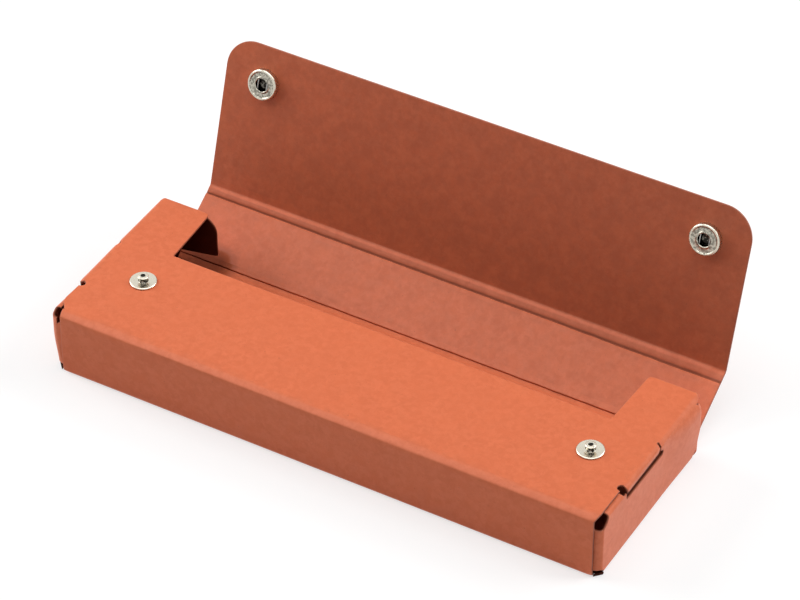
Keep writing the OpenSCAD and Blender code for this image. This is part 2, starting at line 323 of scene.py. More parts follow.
class Path:
    """A line of straight runs and bends, traced by the distance along it."""

    def __init__(self, start, heading):
        self.tip = np.array(start, float)
        self.heading = heading
        self.length = 0.0
        self.parts = []

    def run(self, length):
        """Goes straight on."""
        self.parts.append(Part(self.length, length, 0.0, self.tip.copy(), self.heading))
        self.tip += length * np.array([math.cos(self.heading), math.sin(self.heading)])
        self.length += length
        return self

    def bend(self, radius, turn):
        """Bends left for a positive turn, in radians."""
        length = radius * abs(turn)
        curve = math.copysign(1 / radius, turn)
        self.parts.append(Part(self.length, length, curve, self.tip.copy(), self.heading))
        self.tip = self._points(self.parts[-1], np.array([length]))[0]
        self.heading += turn
        self.length += length
        return self

    @staticmethod
    def _points(part, along):
        """Points of one run or bend, by the distance from its start."""
        heading = part.heading
        if part.curve == 0:
            return part.tip + along[:, None] * np.array([math.cos(heading), math.sin(heading)])
        angle = heading + part.curve * along
        turned = np.stack([np.sin(angle), -np.cos(angle)], 1)
        first = np.array([math.sin(heading), -math.cos(heading)])
        return part.tip + (turned - first) / part.curve

    def trace(self, s):
        """Points on the line, and how much each lies in a bend."""
        s = np.asarray(s, float)
        points = np.zeros((len(s), 2))
        bent = np.zeros(len(s))
        last = len(self.parts) - 1
        for i, part in enumerate(self.parts):
            here = np.ones(len(s), bool)
            if i > 0:
                here &= s >= part.start
            if i < last:
                here &= s < part.start + part.length
            points[here] = self._points(part, s[here] - part.start)
            if part.curve != 0:
                half = part.length / 2
                middle = part.start + half
                bent = np.maximum(bent, smooth(FOLD_SPREAD - abs(s - middle) / half))
        return points, bent

    def marks(self):
        """Distances for the mesh's lines: close together in bends, wider on straight runs."""
        found = [0.0]
        for part in self.parts:
            count = max(1, math.ceil(part.length / (BEND_STEP if part.curve else mesh_step())))
            found += [part.start + part.length * i / count for i in range(1, count + 1)]
        return np.array(found)


def smooth(t):
    """Smooth step from 0 to 1."""
    t = np.clip(t, 0, 1)
    return t * t * (3 - 2 * t)


def rise(value, start, reach):
    """Rises smoothly from 0 at a start to 1, over a reach."""
    return smooth((value - start) / reach)


def fall(value, end, reach):
    """Falls smoothly from 1 to 0, over a reach that stops at an end."""
    return smooth((end - value) / reach)


def spans(low, high, step):
    """Even marks between two places."""
    return np.linspace(low, high, max(2, math.ceil((high - low) / step) + 1))


def arc(centre, radius, start, end, count, free=True):
    """Points of an arc between two angles in degrees, each with the kind of the edge after it."""
    angles = np.radians(np.linspace(start, end, count + 1))
    return [(centre[0] + radius * math.cos(a), centre[1] + radius * math.sin(a), free) for a in angles]


def seam_after(points):
    """Marks the edge after the last point as a seam."""
    points[-1] = (*points[-1][:2], False)


def mirrored(points):
    """The same side of an outline on the other half, in the same direction round the outline."""
    kinds = [p[2] for p in points]
    turned = [(-u, w) for u, w, _ in reversed(points)]
    edges = list(reversed(kinds[:-1])) + [kinds[-1]]
    return [(u, w, kind) for (u, w), kind in zip(turned, edges)]


def densify(points, step):
    """Splits the long straight edges of an outline."""
    found = []
    for i, (u, w, free) in enumerate(points):
        nu, nw = points[(i + 1) % len(points)][:2]
        length = math.hypot(nu - u, nw - w)
        if length < SAME_PLACE:
            continue
        count = max(1, math.ceil(length / step))
        found += [(u + (nu - u) * k / count, w + (nw - w) * k / count, free) for k in range(count)]
    return found


def turn_round(points):
    """The same closed outline in the other direction."""
    kinds = [p[2] for p in points]
    n = len(points)
    return [(*points[n - 1 - i][:2], kinds[(n - 2 - i) % n]) for i in range(n)]


def area(points):
    """Area of a closed outline, positive where it runs anticlockwise."""
    p = np.array([q[:2] for q in points])
    following = np.roll(p, -1, 0)
    return float(np.sum(p[:, 0] * following[:, 1] - p[:, 1] * following[:, 0]) / 2)


def wound(points, anticlockwise):
    """A closed outline that runs the way that is asked for."""
    return points if (area(points) > 0) == anticlockwise else turn_round(points)


def insets(points):
    """How each point of an outline moves, for each millimetre that its free edges move in."""
    p = np.array([q[:2] for q in points])
    free = np.array([1.0 if q[2] else 0.0 for q in points])
    edge = np.roll(p, -1, 0) - p
    edge /= np.linalg.norm(edge, axis=1)[:, None]
    inward = np.stack([-edge[:, 1], edge[:, 0]], 1)
    moves = np.zeros_like(p)
    for i in range(len(p)):
        pair = np.array([inward[i - 1], inward[i]])
        if abs(np.cross(pair[0], pair[1])) < NEARLY_STRAIGHT:
            mean = pair.sum(0) / np.linalg.norm(pair.sum(0))
            moves[i] = mean * (free[i - 1] + free[i]) / 2
        else:
            moves[i] = np.linalg.solve(pair, [free[i - 1], free[i]])
    return moves


def gap_to(points, loops):
    """Distance from each point to the nearest edge."""
    nearest = np.full(len(points), 1e9)
    for loop in loops:
        for a, b in zip(loop, np.roll(loop, -1, 0)):
            d = b - a
            t = np.clip(((points - a) @ d) / (d @ d), 0, 1)
            nearest = np.minimum(nearest, np.linalg.norm(points - a - t[:, None] * d, axis=1))
    return nearest


def inside(points, loops):
    """Whether each point lies inside the outline and outside its holes."""
    odd = np.zeros(len(points), bool)
    for loop in loops:
        for (ax, ay), (bx, by) in zip(loop, np.roll(loop, -1, 0)):
            crosses = (ay > points[:, 1]) != (by > points[:, 1])
            if ay != by:
                at = ax + (points[:, 1] - ay) * (bx - ax) / (by - ay)
                odd ^= crosses & (points[:, 0] < at)
    return odd


# Meshes

# The wide waves of the sheet have finer ones on them, so many times as close together, with this share
FINER_WAVES = 3.1
FINER_SHARE = 0.25
# Flat margin beside a rounded cut edge
RIM = 0.15
# The mesh's points keep this share of its finest spacing from the rims
CLEAR_SHARE = 0.45
# Points closer than this are joined, and edges shorter than the second are taken out
JOIN_WITHIN = 0.002
SHORTEST_EDGE = 0.0005
# Two triangles become one face where they turn and lean less than this
JOIN_TILT = math.radians(12)
JOIN_SKEW = math.radians(30)
# Steepest turn between two faces that is still shaded as smooth
SHEET_SMOOTH = math.radians(60)
CREASE_SMOOTH = math.radians(50)
METAL_SMOOTH = math.radians(38)


def wave(points):
    """How far the sheet dips inwards from its flat form, at points in millimetres."""
    sheet = settings().sheet
    if sheet.wave_height == 0:
        return np.zeros(len(points))
    broad = 1 / (sheet.wave_length / MM)
    aside = Vector((7, 3, 1))
    found = np.empty(len(points))
    for i, p in enumerate(points):
        v = Vector(p) * broad
        finer = FINER_SHARE * noise.noise(v * FINER_WAVES + aside)
        found[i] = (1 - FINER_SHARE) * noise.noise(v) + finer
    return -sheet.wave_height / MM * (0.5 + 0.5 * np.clip(found, -1, 1))


def outward(place, uv, side):
    """Points of the outer face, their outward directions, and how much each lies in a fold."""
    step = 0.01
    here, bent = place(uv[:, 0], uv[:, 1])
    du = place(uv[:, 0] + step, uv[:, 1])[0] - place(uv[:, 0] - step, uv[:, 1])[0]
    dw = place(uv[:, 0], uv[:, 1] + step)[0] - place(uv[:, 0], uv[:, 1] - step)[0]
    normal = np.cross(du, dw) * side
    normal /= np.linalg.norm(normal, axis=1)[:, None]
    return here, normal, bent


def new_piece(name, bm, smooth_angle=None):
    """Makes a smooth mesh object from a bmesh in metres."""
    bmesh.ops.remove_doubles(bm, verts=bm.verts, dist=JOIN_WITHIN * MM)
    bmesh.ops.dissolve_degenerate(bm, edges=bm.edges, dist=SHORTEST_EDGE * MM)
    bmesh.ops.recalc_face_normals(bm, faces=bm.faces)
    mesh = bpy.data.meshes.new(name)
    bm.to_mesh(mesh)
    bm.free()
    mesh.polygons.foreach_set("use_smooth", [True] * len(mesh.polygons))
    if smooth_angle:
        mesh.set_sharp_from_angle(angle=smooth_angle)
    piece = bpy.data.objects.new(name, mesh)
    bpy.context.scene.collection.objects.link(piece)
    return piece


def sheet_layers(bm):
    """Layers that tell the sheet's material where it is cut and where a crease gets painted shade, where it
    is folded and gets wear with a painted highlight, and where it is badly lit and gets painted shade.
    """
    return [bm.verts.layers.float.new(name) for name in ("cut_edge_and_crease_shade", "folded", "dim")]


def triangulate(rims, grid):
    """Triangles between the rims of a pattern and the points of a grid, as places in both together."""
    joined = np.concatenate([*rims, grid])
    edges, start = [], 0
    for rim in rims:
        n = len(rim)
        edges += [(start + i, start + (i + 1) % n) for i in range(n)]
        start += n
    found = delaunay_2d_cdt([Vector(p) for p in joined], edges, [], 0, 1e-6, True)
    faces, origins = found[2], found[3]
    triangles = np.array([[origins[v][0] for v in face] for face in faces])
    return triangles[inside(joined[triangles].mean(1), rims)]


def build_skin(name, place, loops, us, ws, side=RIGHT, dim=0.0, shade=None):
    """A sheet of even thickness with rounded cut edges, folded from its flat pattern.

    place maps the pattern to the outer face. The first loop is the outline and the others are holes.
    A loop's points say whether the edge after them is free, or a seam that meets its neighbour.
    us and ws are the mesh's lines across the pattern.
    dim is how much painted shade darkens the inner face, which little light reaches: a number, or a
    function of the pattern. shade paints shade in the same way on both faces.
    """
    thick = case.sheet
    r = settings().sheet.cut_radius / MM
    soft = 1 - math.sqrt(0.5)
    # Round a cut edge from the outer face to the inner: inset, depth, and how raw the sheet is there
    rows = [
        (r + RIM, 0, 0), (r, 0, 0.15), (soft * r, soft * r, 0.8), (0, r, 1),
        (0, thick - r, 1), (soft * r, thick - soft * r, 0.8), (r, thick, 0.15), (r + RIM, thick, 0),
    ]
    shaped = [wound(densify(loop, mesh_step()), i == 0) for i, loop in enumerate(loops)]
    moves = [insets(loop) for loop in shaped]
    flat = [np.array([q[:2] for q in loop]) for loop in shaped]
    rims = [f + m * (r + RIM) for f, m in zip(flat, moves)]
    grid = np.array([(u, w) for u in us for w in ws])
    grid = grid[inside(grid, rims)]
    spacing = min(np.diff(np.unique(us)).min(), np.diff(np.unique(ws)).min())
    grid = grid[gap_to(grid, rims) > CLEAR_SHARE * spacing]

    bm = bmesh.new()
    edge_layer, fold_layer, dim_layer = sheet_layers(bm)

    def add(uv, depth, rawness):
        here, normal, bent = outward(place, uv, side)
        points = here + normal * (wave(here) - depth)[:, None]
        tones = dim(uv[:, 0], uv[:, 1]) if callable(dim) else np.full(len(uv), dim)
        tones = tones * (depth > thick / 2)
        if shade:
            tones = np.maximum(tones, shade(uv[:, 0], uv[:, 1]))
        made = []
        for p, b, tone in zip(points, bent, tones):
            v = bm.verts.new(p * MM)
            v[edge_layer] = rawness
            v[fold_layer] = b
            v[dim_layer] = tone
            made.append(v)
        return made

    ladders = [[add(f + m * inset, depth, rawness) for inset, depth, rawness in rows]
               for f, m in zip(flat, moves)]
    outer = [v for ladder in ladders for v in ladder[0]] + add(grid, 0, 0)
    inner = [v for ladder in ladders for v in ladder[-1]] + add(grid, thick, 0)
    faces = []
    for a, b, c in triangulate(rims, grid):
        faces.append(bm.faces.new((outer[a], outer[b], outer[c])))
        faces.append(bm.faces.new((inner[c], inner[b], inner[a])))
    bmesh.ops.join_triangles(
        bm, faces=faces, angle_face_threshold=JOIN_TILT, angle_shape_threshold=JOIN_SKEW,
    )
    for ladder in ladders:
        n = len(ladder[0])
        for upper, lower in zip(ladder, ladder[1:]):
            for i in range(n):
                k = (i + 1) % n
                bm.faces.new((upper[i], lower[i], lower[k], upper[k]))
    return new_piece(name, bm, SHEET_SMOOTH)


def dress(piece, body, material, slot, *nodes):
    """Gives a piece its body and its material, and hides the nodes that it stands for."""
    piece.data.materials.append(material)
    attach(piece, body)
    if nodes:
        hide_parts(*nodes)
    return piece


# Materials

# What the sheet and the metal fade to where no light reaches
UNLIT_SHEET = (0.03, 0.006, 0.004)
UNLIT_METAL = (0.02, 0.018, 0.015)


def link(tree, kind, values=None, **options):
    """Adds a shader node. A value that is a socket is linked, and any other is set."""
    made = tree.nodes.new(kind)
    for key, value in options.items():
        setattr(made, key, value)
    for key, value in (values or {}).items():
        if isinstance(value, bpy.types.NodeSocket):
            tree.links.new(value, made.inputs[key])
        else:
            made.inputs[key].default_value = value
    return made


def combine(tree, operation, *values):
    """Works out one value from two or three."""
    return link(tree, "ShaderNodeMath", dict(enumerate(values)), operation=operation).outputs[0]


def attribute(tree, name):
    """What a layer of the mesh says."""
    return link(tree, "ShaderNodeAttribute", attribute_name=name).outputs["Fac"]


def mix_colour(tree, factor, a, b):
    """Mixes two colours and gives the result's socket."""
    made = link(tree, "ShaderNodeMix", data_type="RGBA")
    for socket, value in zip((made.inputs[0], made.inputs[6], made.inputs[7]), (factor, a, b)):
        if isinstance(value, bpy.types.NodeSocket):
            tree.links.new(value, socket)
        elif socket.type == "RGBA":
            socket.default_value = (*value[:3], 1)
        else:
            socket.default_value = value
    return made.outputs[2]


def ramp(tree, value, low, high, to_low=0.0, to_high=1.0):
    """Maps a value between two limits, smoothly."""
    made = link(
        tree, "ShaderNodeMapRange",
        {0: value, 1: low, 2: high, 3: to_low, 4: to_high}, interpolation_type="SMOOTHSTEP",
    )
    return made.outputs[0]


def cloud(tree, place, scale, detail, rough=0.55, kind="FBM", distortion=0.0):
    """Noise at a scale in features per metre."""
    made = link(
        tree, "ShaderNodeTexNoise",
        {"Vector": place, "Scale": scale, "Detail": detail, "Roughness": rough, "Distortion": distortion},
        noise_type=kind,
    )
    return made.outputs[0]


def start_material(name):
    """A new material with its tree and its shader."""
    material = bpy.data.materials.new(name)
    material.use_nodes = True
    tree = material.node_tree
    shader = next(n for n in tree.nodes if n.type == "BSDF_PRINCIPLED")
    return material, tree, shader


def sheet_material():
    """Pressed fibre sheet: mottled, with short fibres and fine specks, matt and slightly napped."""
    name = "pressed_fibre_sheet"
    if name in bpy.data.materials:
        return bpy.data.materials[name]
    sheet = settings().sheet
    material, tree, shader = start_material(name)
    place = link(tree, "ShaderNodeTexCoord").outputs["Object"]
    wide = cloud(tree, place, 150, 3)
    mottle = cloud(tree, place, 480, 5, 0.6, distortion=0.4)
    fibre = cloud(tree, place, 950, 3, 0.5, "RIDGED_MULTIFRACTAL", 0.9)
    grain = cloud(tree, place, 3200, 3, 0.6)
    speck = cloud(tree, place, 1500, 2, 0.5)
    blotch = cloud(tree, place, 190, 6, 0.7)
    folded = attribute(tree, "folded")
    cut = attribute(tree, "cut_edge_and_crease_shade")
    dim = attribute(tree, "dim")

    # The sheet's own colours
    colour = mix_colour(tree, ramp(tree, mottle, 0.36, 0.66), sheet.dark_colour, sheet.light_colour)
    colour = mix_colour(tree, ramp(tree, wide, 0.3, 0.7, 0.6, 0.85), colour, sheet.colour)
    colour = mix_colour(tree, ramp(tree, fibre, 0.75, 1.5, 0.0, 0.30), colour, sheet.light_colour)
    colour = mix_colour(tree, ramp(tree, grain, 0.35, 0.62, 0.22, 0.0), colour, sheet.dark_colour)
    colour = mix_colour(tree, ramp(tree, speck, 0.71, 0.78, 0.0, 0.4), colour, sheet.speck_colour)

    # Wear with a painted highlight at the folds, raw cut edges and painted shade in the creases, and dark
    # blotches and painted shade on the dim inside
    wear_and_highlight = combine(tree, "MULTIPLY", folded, ramp(tree, mottle, 0.3, 0.7, 0.10, 0.34))
    colour = mix_colour(tree, wear_and_highlight, colour, sheet.light_colour)
    colour = mix_colour(tree, combine(tree, "MULTIPLY", cut, 0.8), colour, sheet.cut_colour)
    patches = combine(tree, "MULTIPLY", ramp(tree, blotch, 0.36, 0.66, 0.2, 0.0),
                      ramp(tree, dim, 0.0, 0.12, 0.25, 1.0))
    colour = mix_colour(tree, patches, colour, sheet.speck_colour)
    colour = mix_colour(tree, dim, colour, UNLIT_SHEET)
    tree.links.new(colour, shader.inputs["Base Color"])
    tree.links.new(ramp(tree, mottle, 0.3, 0.7, 0.66, 0.56), shader.inputs["Roughness"])

    # More gloss where the sheet is seen straight on or at a low angle, and less in dim places
    facing = link(tree, "ShaderNodeLayerWeight", {"Blend": 0.5}).outputs["Facing"]
    gloss = combine(tree, "ADD", ramp(tree, facing, 0.11, 0.24, 0.55, 0.36),
                    ramp(tree, facing, 0.38, 0.68, 0.0, 0.64))
    gloss = combine(tree, "MULTIPLY", gloss, ramp(tree, dim, 0.3, 0.45, 1.0, 0.2))
    tree.links.new(gloss, shader.inputs["Specular IOR Level"])

    relief = combine(tree, "MULTIPLY", grain, 0.45)
    relief = combine(tree, "MULTIPLY_ADD", fibre, 0.22, relief)
    relief = combine(tree, "MULTIPLY_ADD", mottle, 0.8, relief)
    bump = link(tree, "ShaderNodeBump", {"Strength": 0.5, "Distance": 0.000024, "Height": relief})
    tree.links.new(bump.outputs["Normal"], shader.inputs["Normal"])
    return material


def metal_material(name, colour, rough, scratch):
    """Plated metal with fine turning marks that run round the piece, and painted shade and dark reflections
    in its hollows.
    """
    if name in bpy.data.materials:
        return bpy.data.materials[name]
    material, tree, shader = start_material(name)
    turned = link(tree, "ShaderNodeUVMap", uv_map="turned").outputs["UV"]
    stretched = link(
        tree, "ShaderNodeMapping", {"Vector": turned, "Scale": (0.35, 60.0, 1.0)}, vector_type="POINT",
    ).outputs[0]
    marks = cloud(tree, stretched, 5, 4, 0.7)
    place = link(tree, "ShaderNodeTexCoord").outputs["Object"]
    dull = cloud(tree, place, 900, 4, 0.6)
    tone = mix_colour(tree, ramp(tree, dull, 0.35, 0.7, 0.0, 0.35), colour, [c * 0.82 for c in colour])
    # Painted shade and dark reflections in the hollows, broken into patches
    patches = ramp(tree, cloud(tree, place, 1300, 2, 0.5), 0.4, 0.6, 0.45, 1.15)
    tone = mix_colour(tree, combine(tree, "MULTIPLY", attribute(tree, "metal_shade"), patches), tone, UNLIT_METAL)
    shader.inputs["Metallic"].default_value = 1.0
    tree.links.new(tone, shader.inputs["Base Color"])
    tree.links.new(ramp(tree, dull, 0.3, 0.75, rough * 0.8, rough * 1.5), shader.inputs["Roughness"])
    bump = link(tree, "ShaderNodeBump", {"Strength": scratch, "Distance": 0.00002, "Height": marks})
    tree.links.new(bump.outputs["Normal"], shader.inputs["Normal"])
    return material


def nickel_material():
    """Plating of the studs, sockets and caps."""
    return metal_material("nickel_plate", list(settings().snaps.nickel), 0.24, 0.15)


def steel_material():
    """Bright steel of the spring wires."""
    return metal_material("spring_wire", list(settings().snaps.steel), 0.3, 0.1)


# The folded box

# How far a seam between two panels lies from the fold beside it
SEAM_SETBACK = 0.6
# The fold at the top's front edge is flattened to a narrow strip between two bends
TOP_TILT = math.radians(25)
TOP_STRIP = 1.6
SHARP_BEND = 0.6
EASY_BEND = 1.2
# It dips and wanders a little, because it is folded by hand
FOLD_DIP = 0.04
FOLD_WANDER = 0.12
WANDER_LENGTH = 17
# It turns from wall to fold over the first of these, and dips from so far under the top upwards
FOLD_EASE = 0.6
DIP_REACH = 5
# How far the front wall stops short of the fold at each end, low down and at the top
WALL_SET = {LEFT: 1.5, RIGHT: 0.7}
WALL_TOP_SET = {LEFT: 0.9, RIGHT: 0.0}
# How far the two ends stand out past their pattern
LEFT_LEAN = 0.9
LEFT_BELLY = 0.12
LEFT_FRONT = 0.4
RIGHT_FOOT = 0.85
RIGHT_BELLY = 0.75
# Radii of the holes at the lower front corners and at the upper left one
LOW_HOLE = 2.3
LEFT_HOLE = 2.75
# A lock tab bends in this far over the middle of its slit, slants through and hangs behind the wall
TAB_BEND = 1.3
TAB_CURVE = 0.9
TAB_TURN = math.radians(40)
TAB_SLANT = 0.55
TAB_TIP = 1.9
# Radii of the round cuts beside a lock tab, and how far the back one lies outside the fold
FRONT_RELIEF = 1.25
BACK_RELIEF = 0.4
BACK_RELIEF_SET = 0.6
# Where the front one meets the seam between the top and the lock tab, in degrees
RELIEF_SEAM = math.degrees(math.acos(-SEAM_SETBACK / FRONT_RELIEF))
# How far a slit's lower edge lies under its middle, at its back and its front, and its back end's radius
SLIT_BACK_DROP = 1.55
SLIT_FRONT_DROP = 1.1
SLIT_HOOK = 1.1
# How far an end wall drops in front of its lock tab, and how far its front flap keeps off the front wall
SHOULDER_DROP = 0.38
FRONT_TUCK_GAP = 0.22
# Radii of the holes for the posts of the studs and of the caps
STUD_HOLE = 1.1
CAP_HOLE = 1.6
# The pattern of an end goes on for longer than the flap past its upper fold
LONGEST_TUCK = 30
# Seam of a dust flap with its fold: how far past the fold it lies, how high it starts, and how far
# under the flap's upper edge it stops
DUST_SEAM = 0.4
DUST_FOOT = 1.3
DUST_HEAD = 2.9
# How far the strip of a crease reaches to each side, and how far that of the flap reaches to the back panel
CREASE_REACH = 2.6
RIDGE_REACH = 5.0
# How much painted shade darkens the inner faces: the box, the back panel, and the flap with its change to
# each end, then the dust flaps, and the painted shadow on the dark tongues and on the ends of the lock tabs
INSIDE_SHADE = 0.7
BACK_SHADE = 0.06
FLAP_SHADE = 0.205
FLAP_SHADE_CHANGE = 0.065
DUST_SHADE = 0.85
TONGUE_SHADOW = 0.95
TAB_SHADE = 0.9
# The bottom gets dim from this far out, and is fully dim after the reach
END_SHADE_FROM = 67
END_SHADE_REACH = 10

# Places on the pattern of an end: where its flat starts and stops, and where its upper fold stops
FLAT_LOW = SEAM_SETBACK + case.fold * QUARTER
FLAT_HIGH = FLAT_LOW + case.end_top - 2 * case.fold
FOLD_HIGH = FLAT_HIGH + case.fold * QUARTER

# Spacing of the points on small parts: lock tabs and creases, dust flaps with their folds, tucked flaps
FINE_STEP = 1.2
DUST_STEP = 1.8
TUCK_STEP = 2.0


def length_marks():
    """Marks along the length of the case and a little past it."""
    reach = case.end + 6
    return spans(-reach, reach, mesh_step())


def end_shade(x):
    """Painted shade on the bottom under the closed ends of the top."""
    return INSIDE_SHADE * rise(np.abs(x), END_SHADE_FROM, END_SHADE_REACH)


def top_fold():
    """How far the fold at the top's front edge reaches back and down, and its length."""
    back = SHARP_BEND * (1 - math.sin(TOP_TILT)) + TOP_STRIP * math.cos(TOP_TILT)
    back += EASY_BEND * math.sin(TOP_TILT)
    down = SHARP_BEND * math.cos(TOP_TILT) + TOP_STRIP * math.sin(TOP_TILT)
    down += EASY_BEND * (1 - math.cos(TOP_TILT))
    return back, down, SHARP_BEND * (QUARTER - TOP_TILT) + TOP_STRIP + EASY_BEND * TOP_TILT


def front_path():
    """From the bottom round the front wall and its flattened upper fold to the top, as Y and Z."""
    start = (case.fold_y + SEAM_SETBACK, 0)
    path = Path(start, math.pi).run(SEAM_SETBACK).bend(case.fold, -QUARTER)
    path.run(case.height - case.fold - top_fold()[1]).bend(SHARP_BEND, TOP_TILT - QUARTER)
    path.run(TOP_STRIP).bend(EASY_BEND, -TOP_TILT).run(SEAM_SETBACK)
    return path


def soft_line(x, height):
    """A hand-made fold wanders a little along its length."""
    return height * np.array([noise.noise(Vector((v / WANDER_LENGTH, 0.3, 2.0))) for v in x])


def make_front_wall(material):
    """The front wall, with the flattened fold at its upper edge."""
    path = front_path()
    back, down, length = top_fold()
    hole = settings().sheet.small_hole / MM
    lower_x = case.panel_end - math.sqrt(hole**2 - SEAM_SETBACK**2)
    fold_start = path.length - SEAM_SETBACK - length

    def place(u, w):
        line, bent = path.trace(w)
        y, z = line[:, 0], line[:, 1]
        in_fold = rise(z, case.height - down, FOLD_EASE) * fall(y, case.front + back, FOLD_EASE)
        bent = np.maximum(bent, in_fold)
        dip = (FOLD_DIP + soft_line(u, FOLD_WANDER)) * bent * rise(z, case.height - DIP_REACH, DIP_REACH)
        return np.stack([u, y + dip, z - dip], 1), bent

    def half(side):
        edge = case.panel_end - WALL_SET[side]
        top_edge = case.panel_end - WALL_TOP_SET[side]
        return [(lower_x, 0, True), (lower_x, SEAM_SETBACK, True), (edge, SEAM_SETBACK, True),
                (edge, fold_start, True), (max(edge, top_edge - 0.3), fold_start + TOP_STRIP, True),
                (top_edge, path.length, False)]

    outline = half(RIGHT) + mirrored(half(LEFT))
    seam_after(outline)
    piece = build_skin("front_wall_skin", place, [outline], length_marks(), path.marks(), dim=INSIDE_SHADE)
    return dress(piece, "box", material, "sheet", "front_wall")


def make_bottom(material):
    """The bottom panel. A tongue at each front corner is painted dark with the shadow in the hollow under
    the folds, and closes that hollow.
    """
    seam_x = case.panel_end - SEAM_SETBACK
    seam_y = case.fold_y + SEAM_SETBACK
    seam_back = case.crease_y - CREASE_REACH
    # A tongue starts inside the fold, and its outer edge slants back to just inside the corner's hole
    tongue_x = case.panel_end - 0.55
    tongue_y = case.fold_y + LOW_HOLE - 0.25
    # Behind the end wall the panel widens to the length of the crease
    wall_back, widened = case.upright_back - 0.2, case.upright_back + 0.4
    side = [(tongue_x, seam_y, True), (tongue_x, case.front + 0.7, True), (case.end, tongue_y - 0.6, True),
            (case.end - 0.1, tongue_y, True), (seam_x, tongue_y, False), (seam_x, wall_back, True),
            (case.crease_half, widened, True), (case.crease_half, seam_back, False)]
    outline = side + mirrored(side)
    seam_after(outline)
    # The pattern is drawn from below, so its X runs the other way
    outline = turn_round([(-u, w, free) for u, w, free in outline])
    ws = spans(seam_y, seam_back, mesh_step())

    def place(u, w):
        return np.stack([-u, w, np.zeros(len(u))], 1), np.zeros(len(u))

    # Painted shade on the inner face, stronger towards the front and under the closed ends
    def dim(u, w):
        return np.maximum(end_shade(u), INSIDE_SHADE * (1 - rise(w, -6, 14)))

    # Painted shadow on the tongues
    def shade(u, w):
        return TONGUE_SHADOW * ((np.abs(u) > tongue_x - 0.1) & (w < tongue_y + 0.1))

    piece = build_skin("bottom_panel_skin", place, [outline], length_marks(), ws, dim=dim, shade=shade)
    return dress(piece, "box", material, "sheet", "bottom_panel")


def bulge(side, y, z):
    """How far an end stands out past its pattern, at a place along it and a height."""
    if side == LEFT:
        # It leans out all along, a little more in its middle and most at its front
        out = LEFT_LEAN + LEFT_BELLY * np.exp(-((y - 4) / 10) ** 2)
        out += LEFT_FRONT * fall(y, case.front + 18, 16)
        return out * rise(z, 0, 14)
    # It stands out from its foot up towards the back, and comes in again under the top
    out = RIGHT_FOOT * rise(z, 0, 3) + RIGHT_BELLY * rise(z, 5, 8)
    return out * (1 - rise(z, 18.5, 5)) * rise(y, 7, 20)


def top_path(below):
    """From the middle of the top over the end, as X and Z, with a straight run below the fold."""
    return Path((0, case.height), 0).run(case.panel_end).bend(case.fold, -QUARTER).run(below)


def tab_path():
    """From the middle of the top over the end and into the slit, as X and Z."""
    path = top_path(case.height - case.fold - case.slit_z - TAB_BEND)
    return path.bend(TAB_CURVE, -TAB_TURN).run(TAB_SLANT).bend(TAB_CURVE, TAB_TURN).run(TAB_TIP)


def top_place(path):
    """The top's outer face, folded down past the panel's ends."""
    def place(u, w):
        side = np.where(u < 0, -1.0, 1.0)
        line, bent = path.trace(np.abs(u))
        out = np.where(u < 0, bulge(LEFT, w, line[:, 1]), bulge(RIGHT, w, line[:, 1]))
        out *= rise(np.abs(u), case.panel_end - 8, 8) * rise(w, case.front + 3, 5)
        return np.stack([side * (line[:, 0] + out), w, line[:, 1]], 1), bent
    return place


def top_marks(path):
    """Marks across the top, close together where the ends fold down."""
    right = path.marks()
    return np.concatenate([-right[:0:-1], right])


def ear_fold():
    """Distance across the pattern at which the ear's fold ends, level with the end wall."""
    return case.panel_end + case.fold * QUARTER


def relief_cuts():
    """Middles of the round cuts in front of a lock tab and behind it."""
    return ((case.panel_end, case.tab_front - FRONT_RELIEF),
            (case.panel_end + BACK_RELIEF_SET, case.tab_back + BACK_RELIEF))


def post_holes(y, radius):
    """Holes for the posts of the two snaps."""
    return [arc((side * case.snap_x, y), radius, 0, 345, 23) for side in SIDES]


def make_top(material):
    """The top panel, with its notch, an ear at each back corner and the cuts beside the lock tabs."""
    sheet = settings().sheet
    path = top_path(1)
    seam_y = case.front + top_fold()[0] + SEAM_SETBACK
    seam_x = case.panel_end - SEAM_SETBACK
    # The strip in front of the lock tab ends just past the fold
    edge = case.panel_end + 0.12
    ear_x = ear_fold()
    front_cut, back_cut = relief_cuts()
    start = math.degrees(math.acos((edge - front_cut[0]) / FRONT_RELIEF))
    relief = arc(front_cut, FRONT_RELIEF, -start, RELIEF_SEAM - 360, 18)
    seam_after(relief)
    notch_x = case.end - sheet.notch_from_end / MM
    mouth_x = notch_x + sheet.notch_flare / MM
    notch_y = case.back - sheet.notch_depth / MM

    half = [*relief, (seam_x, back_cut[1], False), *arc(back_cut, BACK_RELIEF, 180, 90, 8),
            (ear_x, case.tab_back + 2 * BACK_RELIEF, False), (ear_x, case.inner_back - 3.3, True)]
    # The ear's back corner is cut off in short steps, and the notch's mouth is rounded
    ear = [(ear_x - 0.35, case.back - 2.4), (ear_x - 1.0, case.back - 1.1),
           (ear_x - 1.7, case.back - 0.3), (case.panel_end + 0.1, case.back)]
    notch = [(mouth_x + 1.5, case.back), (mouth_x + 0.5, case.back - 0.3),
             (mouth_x, case.back - 1.2), (notch_x, notch_y)]
    half += [(u, w, True) for u, w in ear + notch]
    # The left front corner is cut back further than the right one
    right_corner = [(edge, seam_y, True)]
    left_corner = [(edge - 1.4, seam_y, True), (edge - 1.4, seam_y + 0.2, True), (edge, seam_y + 3.2, True)]
    outline = right_corner + half + mirrored(left_corner + half)
    seam_after(outline)
    loops = [outline, *post_holes(case.snap_y, STUD_HOLE)]
    ws = spans(seam_y, case.back, mesh_step())
    piece = build_skin("top_panel_skin", top_place(path), loops, top_marks(path), ws, dim=INSIDE_SHADE)
    return dress(piece, "box", material, "sheet", "top_panel")


